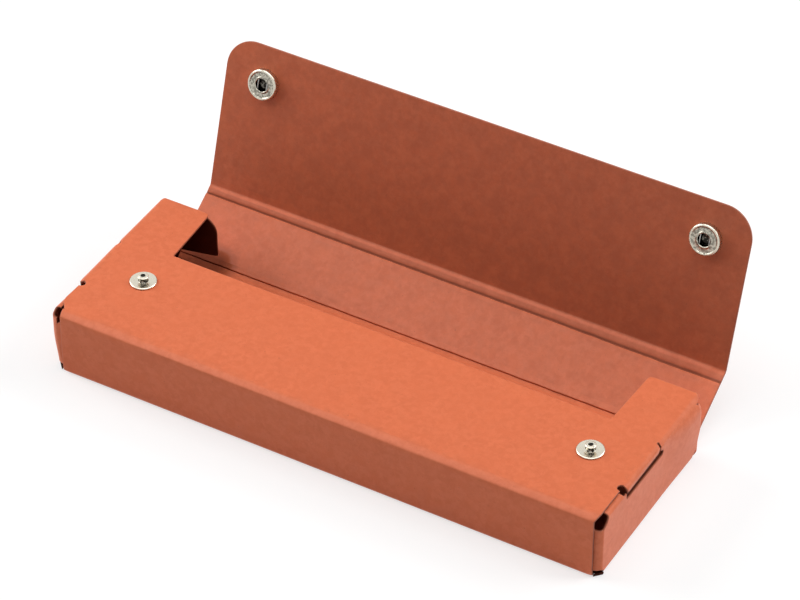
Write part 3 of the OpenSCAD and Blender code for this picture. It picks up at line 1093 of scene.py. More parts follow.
def make_lock_tab(side, material):
    """A tab of the top that bends over the end and goes into the slit."""
    path = tab_path()
    front_cut, back_cut = relief_cuts()
    tip = path.length - 0.05
    corner = 1
    slot = arc(back_cut, BACK_RELIEF, -90, -180, 8)
    seam_after(slot)
    outline = [*arc(front_cut, FRONT_RELIEF, RELIEF_SEAM, 90, 6),
               (tip - corner, case.tab_front, True), (tip, case.tab_front + corner, True),
               (tip, case.tab_back - corner, True), (tip - corner, case.tab_back, True), *slot,
               (case.panel_end - SEAM_SETBACK, back_cut[1], False)]
    if side == LEFT:
        outline = turn_round([(-u, w, free) for u, w, free in outline])
    ws = spans(case.tab_front, case.tab_back, FINE_STEP)
    # From where it starts to bend in, the tab is painted with the shade of the slit
    inward = ear_fold() + case.height - case.fold - case.slit_z - TAB_BEND - 0.1

    def shade(u, w):
        return TAB_SHADE * rise(np.abs(u), inward, 0.5)

    piece = build_skin(
        f"{SIDES[side]}_lock_tab_skin", top_place(path), [outline], top_marks(path), ws, shade=shade,
    )
    return dress(piece, "box", material, "sheet", f"{SIDES[side]}_lock_tab")


def end_path(under_top):
    """From the bottom up the end wall and some way under the top, as X and Z."""
    path = Path((case.panel_end - SEAM_SETBACK, 0), 0).run(SEAM_SETBACK).bend(case.fold, QUARTER)
    return path.run(case.end_top - 2 * case.fold).bend(case.fold, QUARTER).run(under_top)


def end_place(side):
    """The outer face of an end and its flaps. The pattern runs along Y and up the wall."""
    path = end_path(LONGEST_TUCK)
    half_arc = case.upright_arc / 2

    def place(u, w):
        line, bent = path.trace(w)
        over = np.clip(case.upright_front - u, 0, None)
        past = np.clip(u - case.upright_back, 0, None)
        y = np.clip(u, case.upright_front, case.upright_back)
        inset = np.zeros(len(u))
        for amount, sign in ((over, -1), (past, 1)):
            angle = np.clip(amount, 0, case.upright_arc) / case.upright
            beyond = np.clip(amount - case.upright_arc, 0, None)
            y = y + sign * case.upright * np.sin(angle)
            inset = inset + case.upright * (1 - np.cos(angle)) + beyond
            turned = smooth(1.3 - abs(amount - half_arc) / half_arc) * (amount > 0)
            bent = np.maximum(bent, turned)
        y = y + FRONT_TUCK_GAP * rise(over, 0, 1.5)
        spread = bulge(side, y, line[:, 1])
        shoulder = fall(u, case.tab_front, 0.4) * rise(w, case.end_top - 3, 3)
        z = line[:, 1] - SHOULDER_DROP * shoulder
        return np.stack([side * (line[:, 0] - inset + spread), y, z], 1), bent

    return place


def flat_up(z):
    """Place up the pattern of an end for a height on its flat."""
    return FLAT_LOW + z - case.fold


def dust_notch():
    """Radius of the notch above a dust flap's fold."""
    return settings().sheet.small_hole / MM + 0.1


def make_end_wall(side, material):
    """The end wall, with its slit, its shoulder in front of the lock tab and its corner holes."""

    def across(y):
        """Pattern place of a Y, past the start of the front upright fold too."""
        if y >= case.upright_front:
            return y
        return case.upright_front - case.upright * math.asin(min(1, (case.upright_front - y) / case.upright))

    def up(z):
        """Pattern place of a height, in the two folds too."""
        if z < case.fold:
            return SEAM_SETBACK + case.fold * math.acos(1 - z / case.fold)
        if z > case.end_top - case.fold:
            return FLAT_HIGH + case.fold * math.asin(min(1, (z - case.end_top + case.fold) / case.fold))
        return flat_up(z)

    def ring(centre, radius, start, end, count):
        return [(across(y), up(z), True) for y, z, _ in arc(centre, radius, start, end, count)]

    seam_top = FOLD_HIGH + SEAM_SETBACK
    over_fold = case.inner_front - case.fold_y
    low = (case.fold_y, 0.0)
    low_turn = math.degrees(math.acos(over_fold / LOW_HOLE))
    big, high = settings().sheet.front_corner_hole / MM, (case.fold_y, case.height - case.fold)
    # The hole at the upper left corner is smaller and sits higher
    if side == LEFT:
        big, high = LEFT_HOLE, (case.fold_y, case.height - 0.2)
    high_turn = math.degrees(math.acos(over_fold / big))
    high_top = math.degrees(math.asin((case.end_top - high[1]) / big))
    notch = dust_notch()
    notch_turn = 360 - math.degrees(math.acos((case.upright_back - case.inner_back) / notch))
    ear_turn = 180 - math.degrees(math.asin((case.height - case.fold - case.end_top) / notch))
    notch_edge = ring((case.inner_back, case.end_top), notch, notch_turn, ear_turn, 8)
    seam_after(notch_edge)
    slit_play = 0.5
    slit_front_y = case.tab_front - slit_play
    slit_front = case.slit_z - SLIT_FRONT_DROP
    hook = (case.tab_back + 0.95, case.slit_z - SLIT_BACK_DROP + SLIT_HOOK)
    relief = (case.tab_front - FRONT_RELIEF + 0.05, case.end_top + 0.1)
    relief_start = -math.degrees(math.acos((slit_front_y - relief[0]) / FRONT_RELIEF))
    relief_end = -180 - math.degrees(math.asin((case.end_top - relief[1]) / FRONT_RELIEF))
    high_edge = ring(high, big, high_top, -high_turn, 22)
    seam_after(high_edge)

    outline = [(case.fold_y + LOW_HOLE, 0, False), (case.upright_back - 0.2, 0, True),
               (case.upright_back - 0.2, SEAM_SETBACK, True), (case.upright_back, up(1.0), False),
               *notch_edge, (case.tab_back + slit_play, up(case.height - case.fold), True),
               *ring(hook, SLIT_HOOK, 100, -90, 12),
               (case.tab_front, up(slit_front), True), (slit_front_y, up(slit_front + slit_play), True),
               *ring(relief, FRONT_RELIEF, relief_start, relief_end, 10),
               (relief[0] - FRONT_RELIEF, seam_top, False),
               (high[0] + big * math.cos(math.radians(high_top)), seam_top, True),
               *high_edge, *ring(low, LOW_HOLE, low_turn, 0, 12)]
    if side == LEFT:
        outline = turn_round(outline)
    us = np.concatenate([
        np.linspace(across(case.inner_front), case.upright_front, 13)[:-1],
        spans(case.upright_front, case.upright_back, mesh_step()),
    ])
    piece = build_skin(
        f"{SIDES[side]}_end_wall_skin", end_place(side), [outline], us, end_path(SEAM_SETBACK).marks(),
        side, dim=INSIDE_SHADE,
    )
    return dress(piece, "box", material, "sheet", f"{SIDES[side]}_end_wall")


def make_top_tuck(side, material):
    """The flap of the end wall that lies under the top."""
    low = FOLD_HIGH + SEAM_SETBACK
    high = FOLD_HIGH + case.top_tuck[1][0] - case.top_tuck[0][0]
    front, back = case.top_tuck[0][1] - 0.08, case.tab_front - 2 * FRONT_RELIEF
    r = 3
    outline = [(front, low, True), (front, high - r, True), *arc((front + r, high - r), r, 180, 90, 6),
               *arc((back - r, high - r), r, 90, 0, 6), (back, low, False)]
    us = spans(front, back, TUCK_STEP)
    ws = spans(low, high, TUCK_STEP)
    piece = build_skin(
        f"{SIDES[side]}_top_tuck_skin", end_place(side), [outline], us, ws, side, dim=INSIDE_SHADE,
    )
    return dress(piece, "box", material, "sheet", f"{SIDES[side]}_top_tuck_flap")


def make_front_tuck(side, material):
    """The flap of the end wall that lies behind the front wall."""
    sheet = settings().sheet
    near = case.upright_front - case.upright_arc
    far = near - case.tuck_length
    low = FLAT_LOW
    high = FLAT_HIGH - 0.4
    big = sheet.front_corner_hole / MM
    small = sheet.small_hole / MM
    over_fold = case.inner_front - case.fold_y
    near_high = flat_up(case.height - case.fold - big * math.sin(math.acos(over_fold / big)))
    near_low = flat_up(small * math.sin(math.acos(over_fold / small)))
    # Both corners beside the upright fold are cut back
    r = 4
    outline = [(near, near_low, False), (near, near_high, True), (near - 2.4, high - 0.6, True),
               (near - 4, high, True), *arc((far + r, high - r), r, 90, 180, 6),
               *arc((far + r, low + r), r, 180, 270, 6), (near - 2.6, low, True)]
    us = spans(far, near, TUCK_STEP)
    ws = spans(low, high, TUCK_STEP)
    piece = build_skin(
        f"{SIDES[side]}_front_tuck_skin", end_place(side), [outline], us, ws, side, dim=INSIDE_SHADE,
    )
    return dress(piece, "box", material, "sheet", f"{SIDES[side]}_front_tuck_flap")


# The dust flaps

def make_dust_flap(side, material):
    """The flap across the back opening."""
    body = f"{SIDES[side]}_dust"
    low, high = flat_up(case.dust[0][2]), flat_up(case.dust[1][2])
    near = case.upright_back + case.upright_arc
    far = near + case.upright_x - case.dust[0][0] + 0.6
    slope = near + math.sqrt(dust_notch()**2 - 1.2**2)
    foot = low + settings().sheet.dust_rise / MM
    # The lower edge rises in two steps to the free end, and the upper edge is cut back by the notch
    r = 5.5
    outline = [(near + DUST_SEAM, flat_up(DUST_FOOT), True), (near + 2.4, low + 0.1, True),
               (near + 4.2, foot - 2.6, True), (far - 1.1, foot - 0.1, True), (far - 0.3, foot + 0.3, True),
               (far, foot + 1.1, True), *arc((far - r, high - r), r, 0, 90, 10),
               (slope + 0.8, high, True), (slope - 0.4, high - 0.5, True), (near + 1.6, high - 2.0, True),
               (near + DUST_SEAM, high - DUST_HEAD, False)]
    us = spans(near, far, DUST_STEP)
    ws = spans(low, high, DUST_STEP)
    flap = build_skin(f"{body}_flap_skin", end_place(side), [outline], us, ws, side, dim=DUST_SHADE)
    return dress(flap, body, material, "sheet", f"{body}_flap")


def make_dust_fold(side, material):
    """The upright fold that a dust flap turns at."""
    body = f"{SIDES[side]}_dust"
    back, arc_length = case.upright_back, case.upright_arc
    seam = back + arc_length + DUST_SEAM
    low, high = 0.5, case.end_top - math.sqrt(dust_notch()**2 - case.upright**2)
    head = case.dust[1][2] - DUST_HEAD
    # Both edges curve in from the end wall to the flap
    lower = [(back + arc_length * t, flat_up(low + 0.4 * t * t), True) for t in (0, 0.25, 0.5, 0.75, 1)]
    upper = [(back + arc_length * t, flat_up(high - (high - head + 0.2) * t * t), True)
             for t in (1, 0.75, 0.5, 0.25, 0)]
    seam_after(upper)
    outline = [*lower, (seam, flat_up(DUST_FOOT), False), (seam, flat_up(head), True), *upper]
    us = np.linspace(back, seam, 14)
    ws = spans(flat_up(1), flat_up(high), DUST_STEP)
    fold = build_skin(f"{body}_fold_skin", end_place(side), [outline], us, ws, side, dim=INSIDE_SHADE)
    fold.data.materials.append(material)
    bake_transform(fold)
    return fold


# The back panel, the flap and their creases

def panel_place(y, z, lean):
    """A panel that leans back from an axis. The pattern is X along it and the distance up it."""
    def place(u, w):
        q = -case.bead
        return np.stack([
            -u, y + w * math.cos(lean) - q * math.sin(lean), z + w * math.sin(lean) + q * math.cos(lean),
        ], 1), np.zeros(len(u))
    return place


def make_back_panel(material):
    """The back panel, with painted shade on its inner face, mostly in its lower corners."""
    half = case.crease_half
    low, high = CREASE_REACH, case.back_length - RIDGE_REACH
    outline = [(-half, low, False), (half, low, True), (half, high, False), (-half, high, True)]
    ws = spans(low, high, mesh_step())
    place = panel_place(case.crease_y, case.crease_z, case.lean)

    def dim(u, w):
        return BACK_SHADE + (INSIDE_SHADE - BACK_SHADE) * rise(np.abs(u), 70, 7) * (1 - rise(w, 2, 7))

    piece = build_skin("back_panel_skin", place, [outline], length_marks(), ws, dim=dim)
    return dress(piece, "back", material, "sheet", "back_panel")


def flap_shade(x):
    """Painted shade on the flap's inner face, lighter towards the left end."""
    return FLAP_SHADE + FLAP_SHADE_CHANGE * x / case.crease_half


def make_flap(material):
    """The closing flap, with round free corners and the holes for its snaps."""
    sheet = settings().sheet
    half = case.crease_half
    low = CREASE_REACH
    high = case.snap_reach + sheet.flap_margin / MM
    r = sheet.flap_corner / MM
    outline = [(-half, low, False), (half, low, True), *arc((half - r, high - r), r, 0, 90, 18),
               *arc((-half + r, high - r), r, 90, 180, 18)]
    loops = [outline, *post_holes(case.snap_reach, CAP_HOLE)]
    ws = spans(low, high, mesh_step())
    place = panel_place(case.flap_y, case.flap_z, case.flap_lean)

    def dim(u, w):
        return flap_shade(-u)

    piece = build_skin("closing_flap_skin", place, loops, length_marks(), ws, dim=dim)
    return dress(piece, "flap", material, "sheet", "closing_flap")


# Sections of the two creases, as distance from the crease's axis along a panel and height over it.
# Before the axis they lie on the first panel, and after it on the second.
BACK_BEFORE = [(-1.4, -0.5), (-0.8, -0.5), (-0.45, -0.5)]
BACK_AFTER = [(0.17, -0.5), (0.31, -0.78), (0.45, -0.96), (0.59, -0.78), (0.73, -0.46), (0.95, -0.41),
              (1.3, -0.47), (1.7, -0.5)]
RIDGE_BEFORE = [(-3.95, -0.5), (-3.66, -0.52), (-3.52, -0.66), (-3.4, -1.0), (-3.22, -1.14), (-2.98, -1.12),
                (-2.8, -0.96), (-2.55, -0.74), (-1.9, -0.54), (-1.25, -0.36), (-0.9, -0.29),
                (-0.55, -0.31), (-0.2, -0.4)]
RIDGE_AFTER = [(0.12, -0.49), (0.5, -0.5), (1.1, -0.5), (1.8, -0.5)]
# The outside of a bend is pressed flatter than a round one
BEND_FLATTENING = 0.24
BEND_SHARES = [0.0, 0.25, 0.5, 0.75, 1.0]
# A groove gets painted shade from this far under the inner face, and its full painted shade a little deeper
GROOVE_START = 0.3
GROOVE_EASE = 0.2
GROOVE_SHADE = 0.4
# The long slope of the ridge gets a little painted shade too, between these places
SLOPE_SHADE = 0.35
SLOPE_SPAN = (-2.95, -1.1)
# The ridge lies further from its axis at the right end, and the back crease's groove runs askew
RIDGE_SKEW = 0.155
BACK_SKEW = 0.3
# Both wander in slow waves and in quick ones: how far, how long the waves are, and where in the noise
CREASE_WANDER = ((0.10, 6, 4.0), (0.05, 1.5, 9.0))
# A crease is pressed less at its two ends: to what share, and over what length
LEFT_PRESS, LEFT_PRESS_REACH = 0.5, 3
RIGHT_PRESS, RIGHT_PRESS_REACH = 0.25, 7.5


def crease_section(turn, before, after, reach):
    """Outer and inner lines of a crease's section, both from the first panel to the second.

    Each point comes with its flat form, for where the crease dies out, and with the share of the turn.
    """
    face = case.sheet - case.bead

    def turned(p, q):
        return p * math.cos(turn) - q * math.sin(turn), p * math.sin(turn) + q * math.cos(turn)

    first = [(-reach, face), *before]
    second = [*after, (CREASE_REACH, face)]
    middle = len(first)

    def across_middle(line):
        """Even steps between the two middle points of a line."""
        a, b = np.array(line[middle - 1]), np.array(line[middle])
        count = len(BEND_SHARES)
        return [tuple(a + (b - a) * ((i + 1) / (count + 1))) for i in range(count)]

    inner = first + [turned(p, q) for p, q in second]
    corner = -face * math.tan(turn / 2)
    flat = [(min(p, corner), face) for p, _ in first]
    flat += [turned(max(p, -corner), face) for p, _ in second]
    outer = [(p * (1 - i / len(first)), -case.bead) for i, (p, _) in enumerate(first)]
    for share in BEND_SHARES:
        angle = turn * share - QUARTER
        radius = case.bead - BEND_FLATTENING * math.sin(math.pi * share)
        outer.append((radius * math.cos(angle), radius * math.sin(angle)))
    outer += [turned(CREASE_REACH * (i + 1) / len(second), -case.bead) for i in range(len(second))]
    inner[middle:middle] = across_middle(inner)
    flat[middle:middle] = across_middle(flat)
    shares = [0.0] * len(first) + BEND_SHARES + [1.0] * len(second)
    return np.array(outer), np.array(inner), np.array(flat), np.array(shares)


def crease_stations():
    """Places along a crease, each with how far the rounded cut edge draws in the faces there."""
    half = case.crease_half
    r = settings().sheet.cut_radius / MM
    soft = 1 - math.sqrt(0.5)
    ends = [(0, r), (soft * r, soft * r), (r, 0), (r + RIM, 0)]
    stations = [(-half + x, shrink) for x, shrink in ends]
    stations += [(x, 0) for x in spans(-half + 1, half - 1, FINE_STEP)]
    return stations + [(half - x, shrink) for x, shrink in reversed(ends)]


def press_strength(x):
    """How fully a crease is pressed at a place along it. It weakens towards both ends."""
    half = case.crease_half
    left = LEFT_PRESS + (1 - LEFT_PRESS) * rise(x, 0.1 - half, LEFT_PRESS_REACH)
    right = RIGHT_PRESS + (1 - RIGHT_PRESS) * fall(x, half - 0.2, RIGHT_PRESS_REACH)
    return min(right, left)


def make_crease(name, axis, heading, turn, before, after, tones, node, material):
    """The bent strip between two panels, pressed with a groove or a ridge along its inside.

    tones are the painted shade of the panels' inner faces: a number, and a function of the place along the
    crease.
    """
    half = case.crease_half
    ridge = before is RIDGE_BEFORE
    reach = RIDGE_REACH if ridge else CREASE_REACH
    outer, inner, flat_inner, shares = crease_section(turn, before, after, reach)
    groove = case.sheet - case.bead - GROOVE_START
    turned_back = inner[:, 1] * math.cos(turn) - inner[:, 0] * math.sin(turn)
    depth = np.clip((groove - inner[:, 1]) / GROOVE_EASE, 0, 1) * (shares == 0)
    depth += np.clip((groove - turned_back) / GROOVE_EASE, 0, 1) * (shares == 1)
    slope = (inner[:, 0] > SLOPE_SPAN[0]) & (inner[:, 0] < SLOPE_SPAN[1]) & ridge
    groove_and_slope_shade = np.maximum(depth, SLOPE_SHADE * slope)
    skewed = (inner[:, 0] < -0.5) & (inner[:, 0] > -RIDGE_REACH) & ridge
    if ridge:
        near = np.abs(inner - flat_inner).sum(1) > 0.05
    else:
        near = 1 - rise(np.hypot(*inner.T), 1.1, 1.2)
    cos_h, sin_h = math.cos(heading), math.sin(heading)
    normal_angle = heading + turn * shares - QUARTER
    away = np.stack([np.zeros(len(shares)), np.cos(normal_angle), np.sin(normal_angle)], 1)

    def laid(section, x):
        y = axis[0] + section[:, 0] * cos_h - section[:, 1] * sin_h
        z = axis[1] + section[:, 0] * sin_h + section[:, 1] * cos_h
        return np.stack([np.full(len(section), x), y, z], 1)

    bm = bmesh.new()
    edge_layer, fold_layer, dim_layer = sheet_layers(bm)
    rows = []
    for x, shrink in crease_stations():
        wander = 0
        for far, length, where in CREASE_WANDER:
            wander += far * noise.noise(Vector((x / length, heading * 3, where)))
        if not ridge:
            wander -= BACK_SKEW * x / half
        form = flat_inner + (inner - flat_inner) * press_strength(x)
        form[skewed, 0] *= 1 + RIDGE_SKEW * x / half
        shift = np.array([wander, 0]) * near[:, None]
        dip = wave(laid(outer, x))[:, None] * away
        middle = (outer + form) / 2
        drawn_in = min(1, shrink / (case.sheet / 2))
        low = outer + (middle - outer) * drawn_in
        high = form + (middle - form) * drawn_in + shift
        shade = 0 if ridge else float(end_shade(x))
        row = []
        for line, section in enumerate((low, high)):
            made = []
            for p, share, pressed, groove_depth in zip(laid(section, x) + dip, shares, groove_and_slope_shade, depth):
                v = bm.verts.new(p * MM)
                # Besides the cut ends, the raw edge's colour paints shade into the groove and onto the
                # ridge's slope
                v[edge_layer] = 1.0 if shrink > 0 else 0.9 * pressed * line
                v[fold_layer] = 1.0 if 0 < share < 1 else 0.0
                panel = tones[0] + (tones[1](x) - tones[0]) * share
                # Painted shade of the crease's ends, its groove and the panels' inner faces
                v[dim_layer] = max(shade, GROOVE_SHADE * groove_depth, panel) * line
                made.append(v)
            row.append(made)
        rows.append(row)

    count = len(shares)
    for a, b in zip(rows, rows[1:]):
        for line in (0, 1):
            for k in range(count - 1):
                bm.faces.new((a[line][k], b[line][k], b[line][k + 1], a[line][k + 1]))
        for k in (0, count - 1):
            bm.faces.new((a[0][k], b[0][k], b[1][k], a[1][k]))
    for row in (rows[0], rows[-1]):
        for k in range(count - 1):
            bm.faces.new((row[0][k], row[0][k + 1], row[1][k + 1], row[1][k]))
    piece = new_piece(name, bm, CREASE_SMOOTH)
    piece.data.materials.append(material)
    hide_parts(node)
    start = laid(np.array([[0, -case.bead]]), 0)[0] * MM
    end = laid(np.array([[case.bead * math.sin(turn), -case.bead * math.cos(turn)]]), 0)[0] * MM
    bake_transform(piece)
    return piece


# The snaps. A profile's points are radius and height, in millimetres.

# Radii under this are on the axis
ON_AXIS = 1e-6
# Millimetres along a profile for each unit of the turned pattern
PATTERN_UNIT = 10


def rounded(profile, radius):
    """Softens the corners of a closed profile."""
    count = 3
    points = [np.array(p, float) for p in profile]
    found = []
    for i, p in enumerate(points):
        before, after = points[i - 1], points[(i + 1) % len(points)]
        to_before, to_after = before - p, after - p
        reach = min(radius, np.linalg.norm(to_before) / 2, np.linalg.norm(to_after) / 2)
        if p[0] < ON_AXIS:
            found.append(tuple(p))
            continue
        a = p + to_before / np.linalg.norm(to_before) * reach
        b = p + to_after / np.linalg.norm(to_after) * reach
        for k in range(count + 1):
            t = k / count
            found.append(tuple((1 - t) ** 2 * a + 2 * t * (1 - t) * p + t * t * b))
    return found


def turned_piece(name, profile, softness, placed, metal_shade):
    """A closed profile with softened corners, turned round its axis and placed by a matrix.

    The last argument gives the painted shade and dark reflection of a point of the profile, for hollows that
    little light reaches.
    """
    profile = rounded(profile, softness)
    count = settings().snaps.segments
    bm = bmesh.new()
    deep_layer = bm.verts.layers.float.new("metal_shade")
    uv_layer = bm.loops.layers.uv.new("turned")
    lengths = [0.0]
    for a, b in zip(profile, profile[1:]):
        lengths.append(lengths[-1] + math.dist(a, b))
    rings = []
    for i in range(count):
        angle = 2 * math.pi * i / count
        ring = []
        for r, h in profile:
            v = bm.verts.new(placed @ Vector((r * math.cos(angle) * MM, r * math.sin(angle) * MM, h * MM)))
            v[deep_layer] = metal_shade(r, h)
            ring.append(v)
        rings.append(ring)
    n = len(profile)
    for i in range(count):
        here, there = rings[i], rings[(i + 1) % count]
        for k in range(n):
            m = (k + 1) % n
            if profile[k][0] < ON_AXIS and profile[m][0] < ON_AXIS:
                continue
            face = bm.faces.new((here[k], there[k], there[m], here[m]))
            for loop, (u, v) in zip(face.loops, ((i, k), (i + 1, k), (i + 1, m), (i, m))):
                loop[uv_layer].uv = (u / count, lengths[v] / PATTERN_UNIT)
    return new_piece(name, bm, METAL_SMOOTH)


def wire_piece(name, line, level, radius, placed):
    """A round wire that follows a flat line of points, with domed ends."""
    sides = 12
    points = [np.array([u, v, level]) for u, v in line]
    bm = bmesh.new()
    bm.loops.layers.uv.new("turned")
    rings = []
    last = len(points) - 1
    dome = [(-0.95, 0.3), (-0.7, 0.72), (0, 1)]
    for i, p in enumerate(points):
        ahead = points[min(i + 1, last)] - points[max(i - 1, 0)]
        ahead /= np.linalg.norm(ahead)
        aside = np.cross(ahead, [0, 0, 1])
        stops = [(0, 1)]
        if i == 0:
            stops = dome
        if i == last:
            stops = [(-offset, scale) for offset, scale in reversed(dome)]
        for offset, scale in stops:
            centre = p + ahead * radius * offset
            ring = []
            for k in range(sides):
                angle = 2 * math.pi * k / sides
                spoke = aside * math.cos(angle) + np.array([0, 0, 1]) * math.sin(angle)
                ring.append(bm.verts.new(placed @ Vector((centre + spoke * radius * scale) * MM)))
            rings.append(ring)
    for a, b in zip(rings, rings[1:]):
        for k in range(sides):
            m = (k + 1) % sides
            bm.faces.new((a[k], a[m], b[m], b[k]))
    bm.faces.new(rings[0])
    bm.faces.new(rings[-1])
    return new_piece(name, bm)


def on_stud(side):
    """Axes of a stud: Z stands off the top."""
    return Matrix.Translation((side * case.snap_x * MM, case.snap_y * MM, case.height * MM))


def on_flap_face(side):
    """Axes of a flap snap: Y runs up the flap and Z stands off its inner face."""
    lean = case.flap_lean
    y = case.flap_y + case.snap_reach * math.cos(lean) - (case.sheet - case.bead) * math.sin(lean)
    z = case.flap_z + case.snap_reach * math.sin(lean) + (case.sheet - case.bead) * math.cos(lean)
    place = Matrix.Translation((side * case.snap_x * MM, y * MM, z * MM))
    return place @ Matrix.Rotation(lean, 4, "X")


def make_stud(side, material):
    """The stud, with its flange, neck and head."""
    edge = case.stud_radius
    tall = case.stud_height
    bore = 1.06
    neck = 1.25
    profile = [(bore, 0.0), (edge - 0.15, 0.0), (edge, 0.16), (edge, 0.34), (edge - 0.22, 0.53),
               (edge - 0.6, 0.5), (2.3, 0.4), (1.62, 0.44), (1.38, 0.7), (neck, 1.1), (neck, tall - 0.42),
               (1.66, tall - 0.33), (1.74, tall - 0.18), (1.6, tall - 0.03), (1.3, tall),
               (bore, tall - 0.02)]
    # Painted shade and dark reflection on the neck under the head
    stud = turned_piece(f"{SIDES[side]}_snap_stud_turned", profile, 0.12, on_stud(side),
                        lambda r, h: 1.2 * (r < 1.64 and 0.42 < h < tall - 0.4))
    return dress(stud, "box", material, "nickel", f"{SIDES[side]}_snap_stud")


def make_stud_post(side, material):
    """The post that comes up through the top and is spread over the stud, with its foot under the top."""
    edge = case.stud_radius
    tall = case.stud_height
    shank = 0.95
    under = -case.sheet
    foot = under - 0.6
    profile = [(0, foot), (edge - 0.35, foot), (edge - 0.1, foot + 0.2), (edge - 0.12, under - 0.12),
               (edge - 0.4, under), (shank, under), (shank, tall - 0.05), (1.28, tall), (1.24, tall + 0.08),
               (shank, tall + 0.1), (0.6, tall + 0.02), (0.45, tall - 0.25), (0, tall - 0.3)]
    # Painted shade in the hole at the top of the post
    post = turned_piece(f"{SIDES[side]}_stud_post_turned", profile, 0.1, on_stud(side),
                        lambda r, h: 2.0 * (r < 0.7 and h < tall + 0.05))
    return dress(post, "box", material, "nickel", f"{SIDES[side]}_stud_post")


def make_socket(side, material):
    """The socket, with a rolled edge, a shallow groove and a raised lip round its bore."""
    edge = case.socket_radius
    tall = 2.3
    bore = 1.62
    mouth = 2.1
    wall = edge - 0.45
    floor = 0.3
    profile = [(bore, 0.02), (edge - 0.12, 0.0), (edge, 0.14), (edge, tall - 0.62),
               (edge - 0.1, tall - 0.28), (edge - 0.32, tall - 0.06), (edge - 0.62, tall),
               (edge - 0.86, tall - 0.08), (edge - 0.98, tall - 0.26), (edge - 1.15, tall - 0.32),
               (2.85, tall - 0.26), (2.62, tall - 0.1), (2.4, tall - 0.04), (2.2, tall - 0.1),
               (mouth, tall - 0.28), (mouth, tall - 0.54), (2.35, tall - 0.54), (2.45, tall - 0.44),
               (edge - 0.6, tall - 0.5), (wall, tall - 0.9), (wall, floor), (bore, floor)]

    # Painted shade in the bore and under the rolled edge, and painted dark reflections on the ring face
    def metal_shade(r, h):
        if r < 2.3 and h < tall - 0.2 or h < tall - 0.43 and r < edge - 0.2:
            return 2.0
        return 0.6 if r < edge - 0.8 else 0.12

    socket = turned_piece(f"{SIDES[side]}_snap_socket_pressed", profile, 0.1, on_flap_face(side), metal_shade)
    return dress(socket, "flap", material, "nickel", f"{SIDES[side]}_snap_socket")


def make_spring(side, material):
    """The spring wire in a socket, bent to a U whose straight sides hold the stud."""
    wire = settings().snaps.wire / MM
    low, high = corners(f"{SIDES[side]}_socket_spring")
    half_gap = (high[0] - low[0] - wire) / 2
    level = 1.4
    reach = 1.9
    heights = (reach, 0.6, -0.6, -reach)
    line = [(-half_gap, v) for v in heights]
    line += [(half_gap * math.cos(a), -reach + half_gap * math.sin(a))
             for a in np.linspace(math.pi, 2 * math.pi, 14)[1:-1]]
    line += [(half_gap, v) for v in reversed(heights)]
    spring = wire_piece(f"{SIDES[side]}_socket_spring_wire", line, level, wire / 2, on_flap_face(side))
    return dress(spring, "flap", material, "spring_steel", f"{SIDES[side]}_socket_spring")


def make_cap(side, material):
    """The domed cap outside the flap, whose post is spread inside the socket."""
    edge = case.cap_radius
    face = -case.sheet
    dome = face - 1.7
    post = 1.5
    profile = [(0, dome), (1.6, dome + 0.04), (3.2, dome + 0.2), (4.3, dome + 0.42),
               (edge - 0.55, dome + 0.66), (edge - 0.1, face - 0.72), (edge, face - 0.42),
               (edge - 0.12, face - 0.12), (edge - 0.45, face), (post, face), (post, 0.28),
               (1.82, 0.33), (1.8, 0.46), (1.4, 0.5), (0.8, 0.42), (0, 0.36)]
    # Painted shade on the post, where it stands in the socket
    cap = turned_piece(f"{SIDES[side]}_snap_cap_domed", profile, 0.16, on_flap_face(side),
                       lambda r, h: 1.8 * (h > -0.3))
    return dress(cap, "flap", material, "nickel", f"{SIDES[side]}_snap_cap")


# The stage, in metres

FLOOR_REACH = 3
# A hair of room under the case, so that the two faces don't flicker
FLOOR_DROP = 0.00002
# How much the floor glows to the camera, and the share of its colour that the camera sees lit
FLOOR_GLOW = 0.64
FLOOR_SHARE = 0.47


def area_lamp(name, place, target, size, power):
    """A soft box that points at a target."""
    lamp = bpy.data.lights.new(name, "AREA")
    lamp.shape = "RECTANGLE"
    lamp.size, lamp.size_y = size
    lamp.energy = power
    made = bpy.data.objects.new(name, lamp)
    made.location = place
    made.rotation_euler = (Vector(target) - Vector(place)).to_track_quat("-Z", "Y").to_euler()
    bpy.context.scene.collection.objects.link(made)


def seen_rays(tree):
    """1 for what is seen directly, in a reflection or through glass, and 0 for the light that it gives."""
    rays = link(tree, "ShaderNodeLightPath").outputs
    seen = combine(tree, "MAXIMUM", rays["Is Camera Ray"], rays["Is Glossy Ray"])
    return combine(tree, "MAXIMUM", seen, rays["Is Transmission Ray"])


def floor_material(colour):
    """Pale floor that shows white to the camera and keeps the case's shadow."""
    material, tree, shader = start_material("pale_floor")
    shader.inputs["Roughness"].default_value = 0.9
    shader.inputs["Specular IOR Level"].default_value = 0.0
    seen = seen_rays(tree)
    shown = mix_colour(tree, seen, colour, [c * FLOOR_SHARE for c in colour])
    tree.links.new(shown, shader.inputs["Base Color"])
    strength = combine(tree, "MULTIPLY", seen, FLOOR_GLOW)
    glow = link(tree, "ShaderNodeEmission", {"Color": (1, 1, 1, 1), "Strength": strength})
    both = link(tree, "ShaderNodeAddShader", {0: shader.outputs[0], 1: glow.outputs[0]})
    output = next(n for n in tree.nodes if n.type == "OUTPUT_MATERIAL")
    tree.links.new(both.outputs[0], output.inputs["Surface"])
    return material


def make_floor(colour):
    """A wide floor, a hair under the case."""
    bm = bmesh.new()
    bmesh.ops.create_grid(bm, x_segments=8, y_segments=8, size=FLOOR_REACH)
    mesh = bpy.data.meshes.new("floor")
    bm.to_mesh(mesh)
    bm.free()
    floor = bpy.data.objects.new("floor", mesh)
    floor.location = (0, 0, -FLOOR_DROP)
    mesh.materials.append(floor_material(colour))
    bpy.context.scene.collection.objects.link(floor)


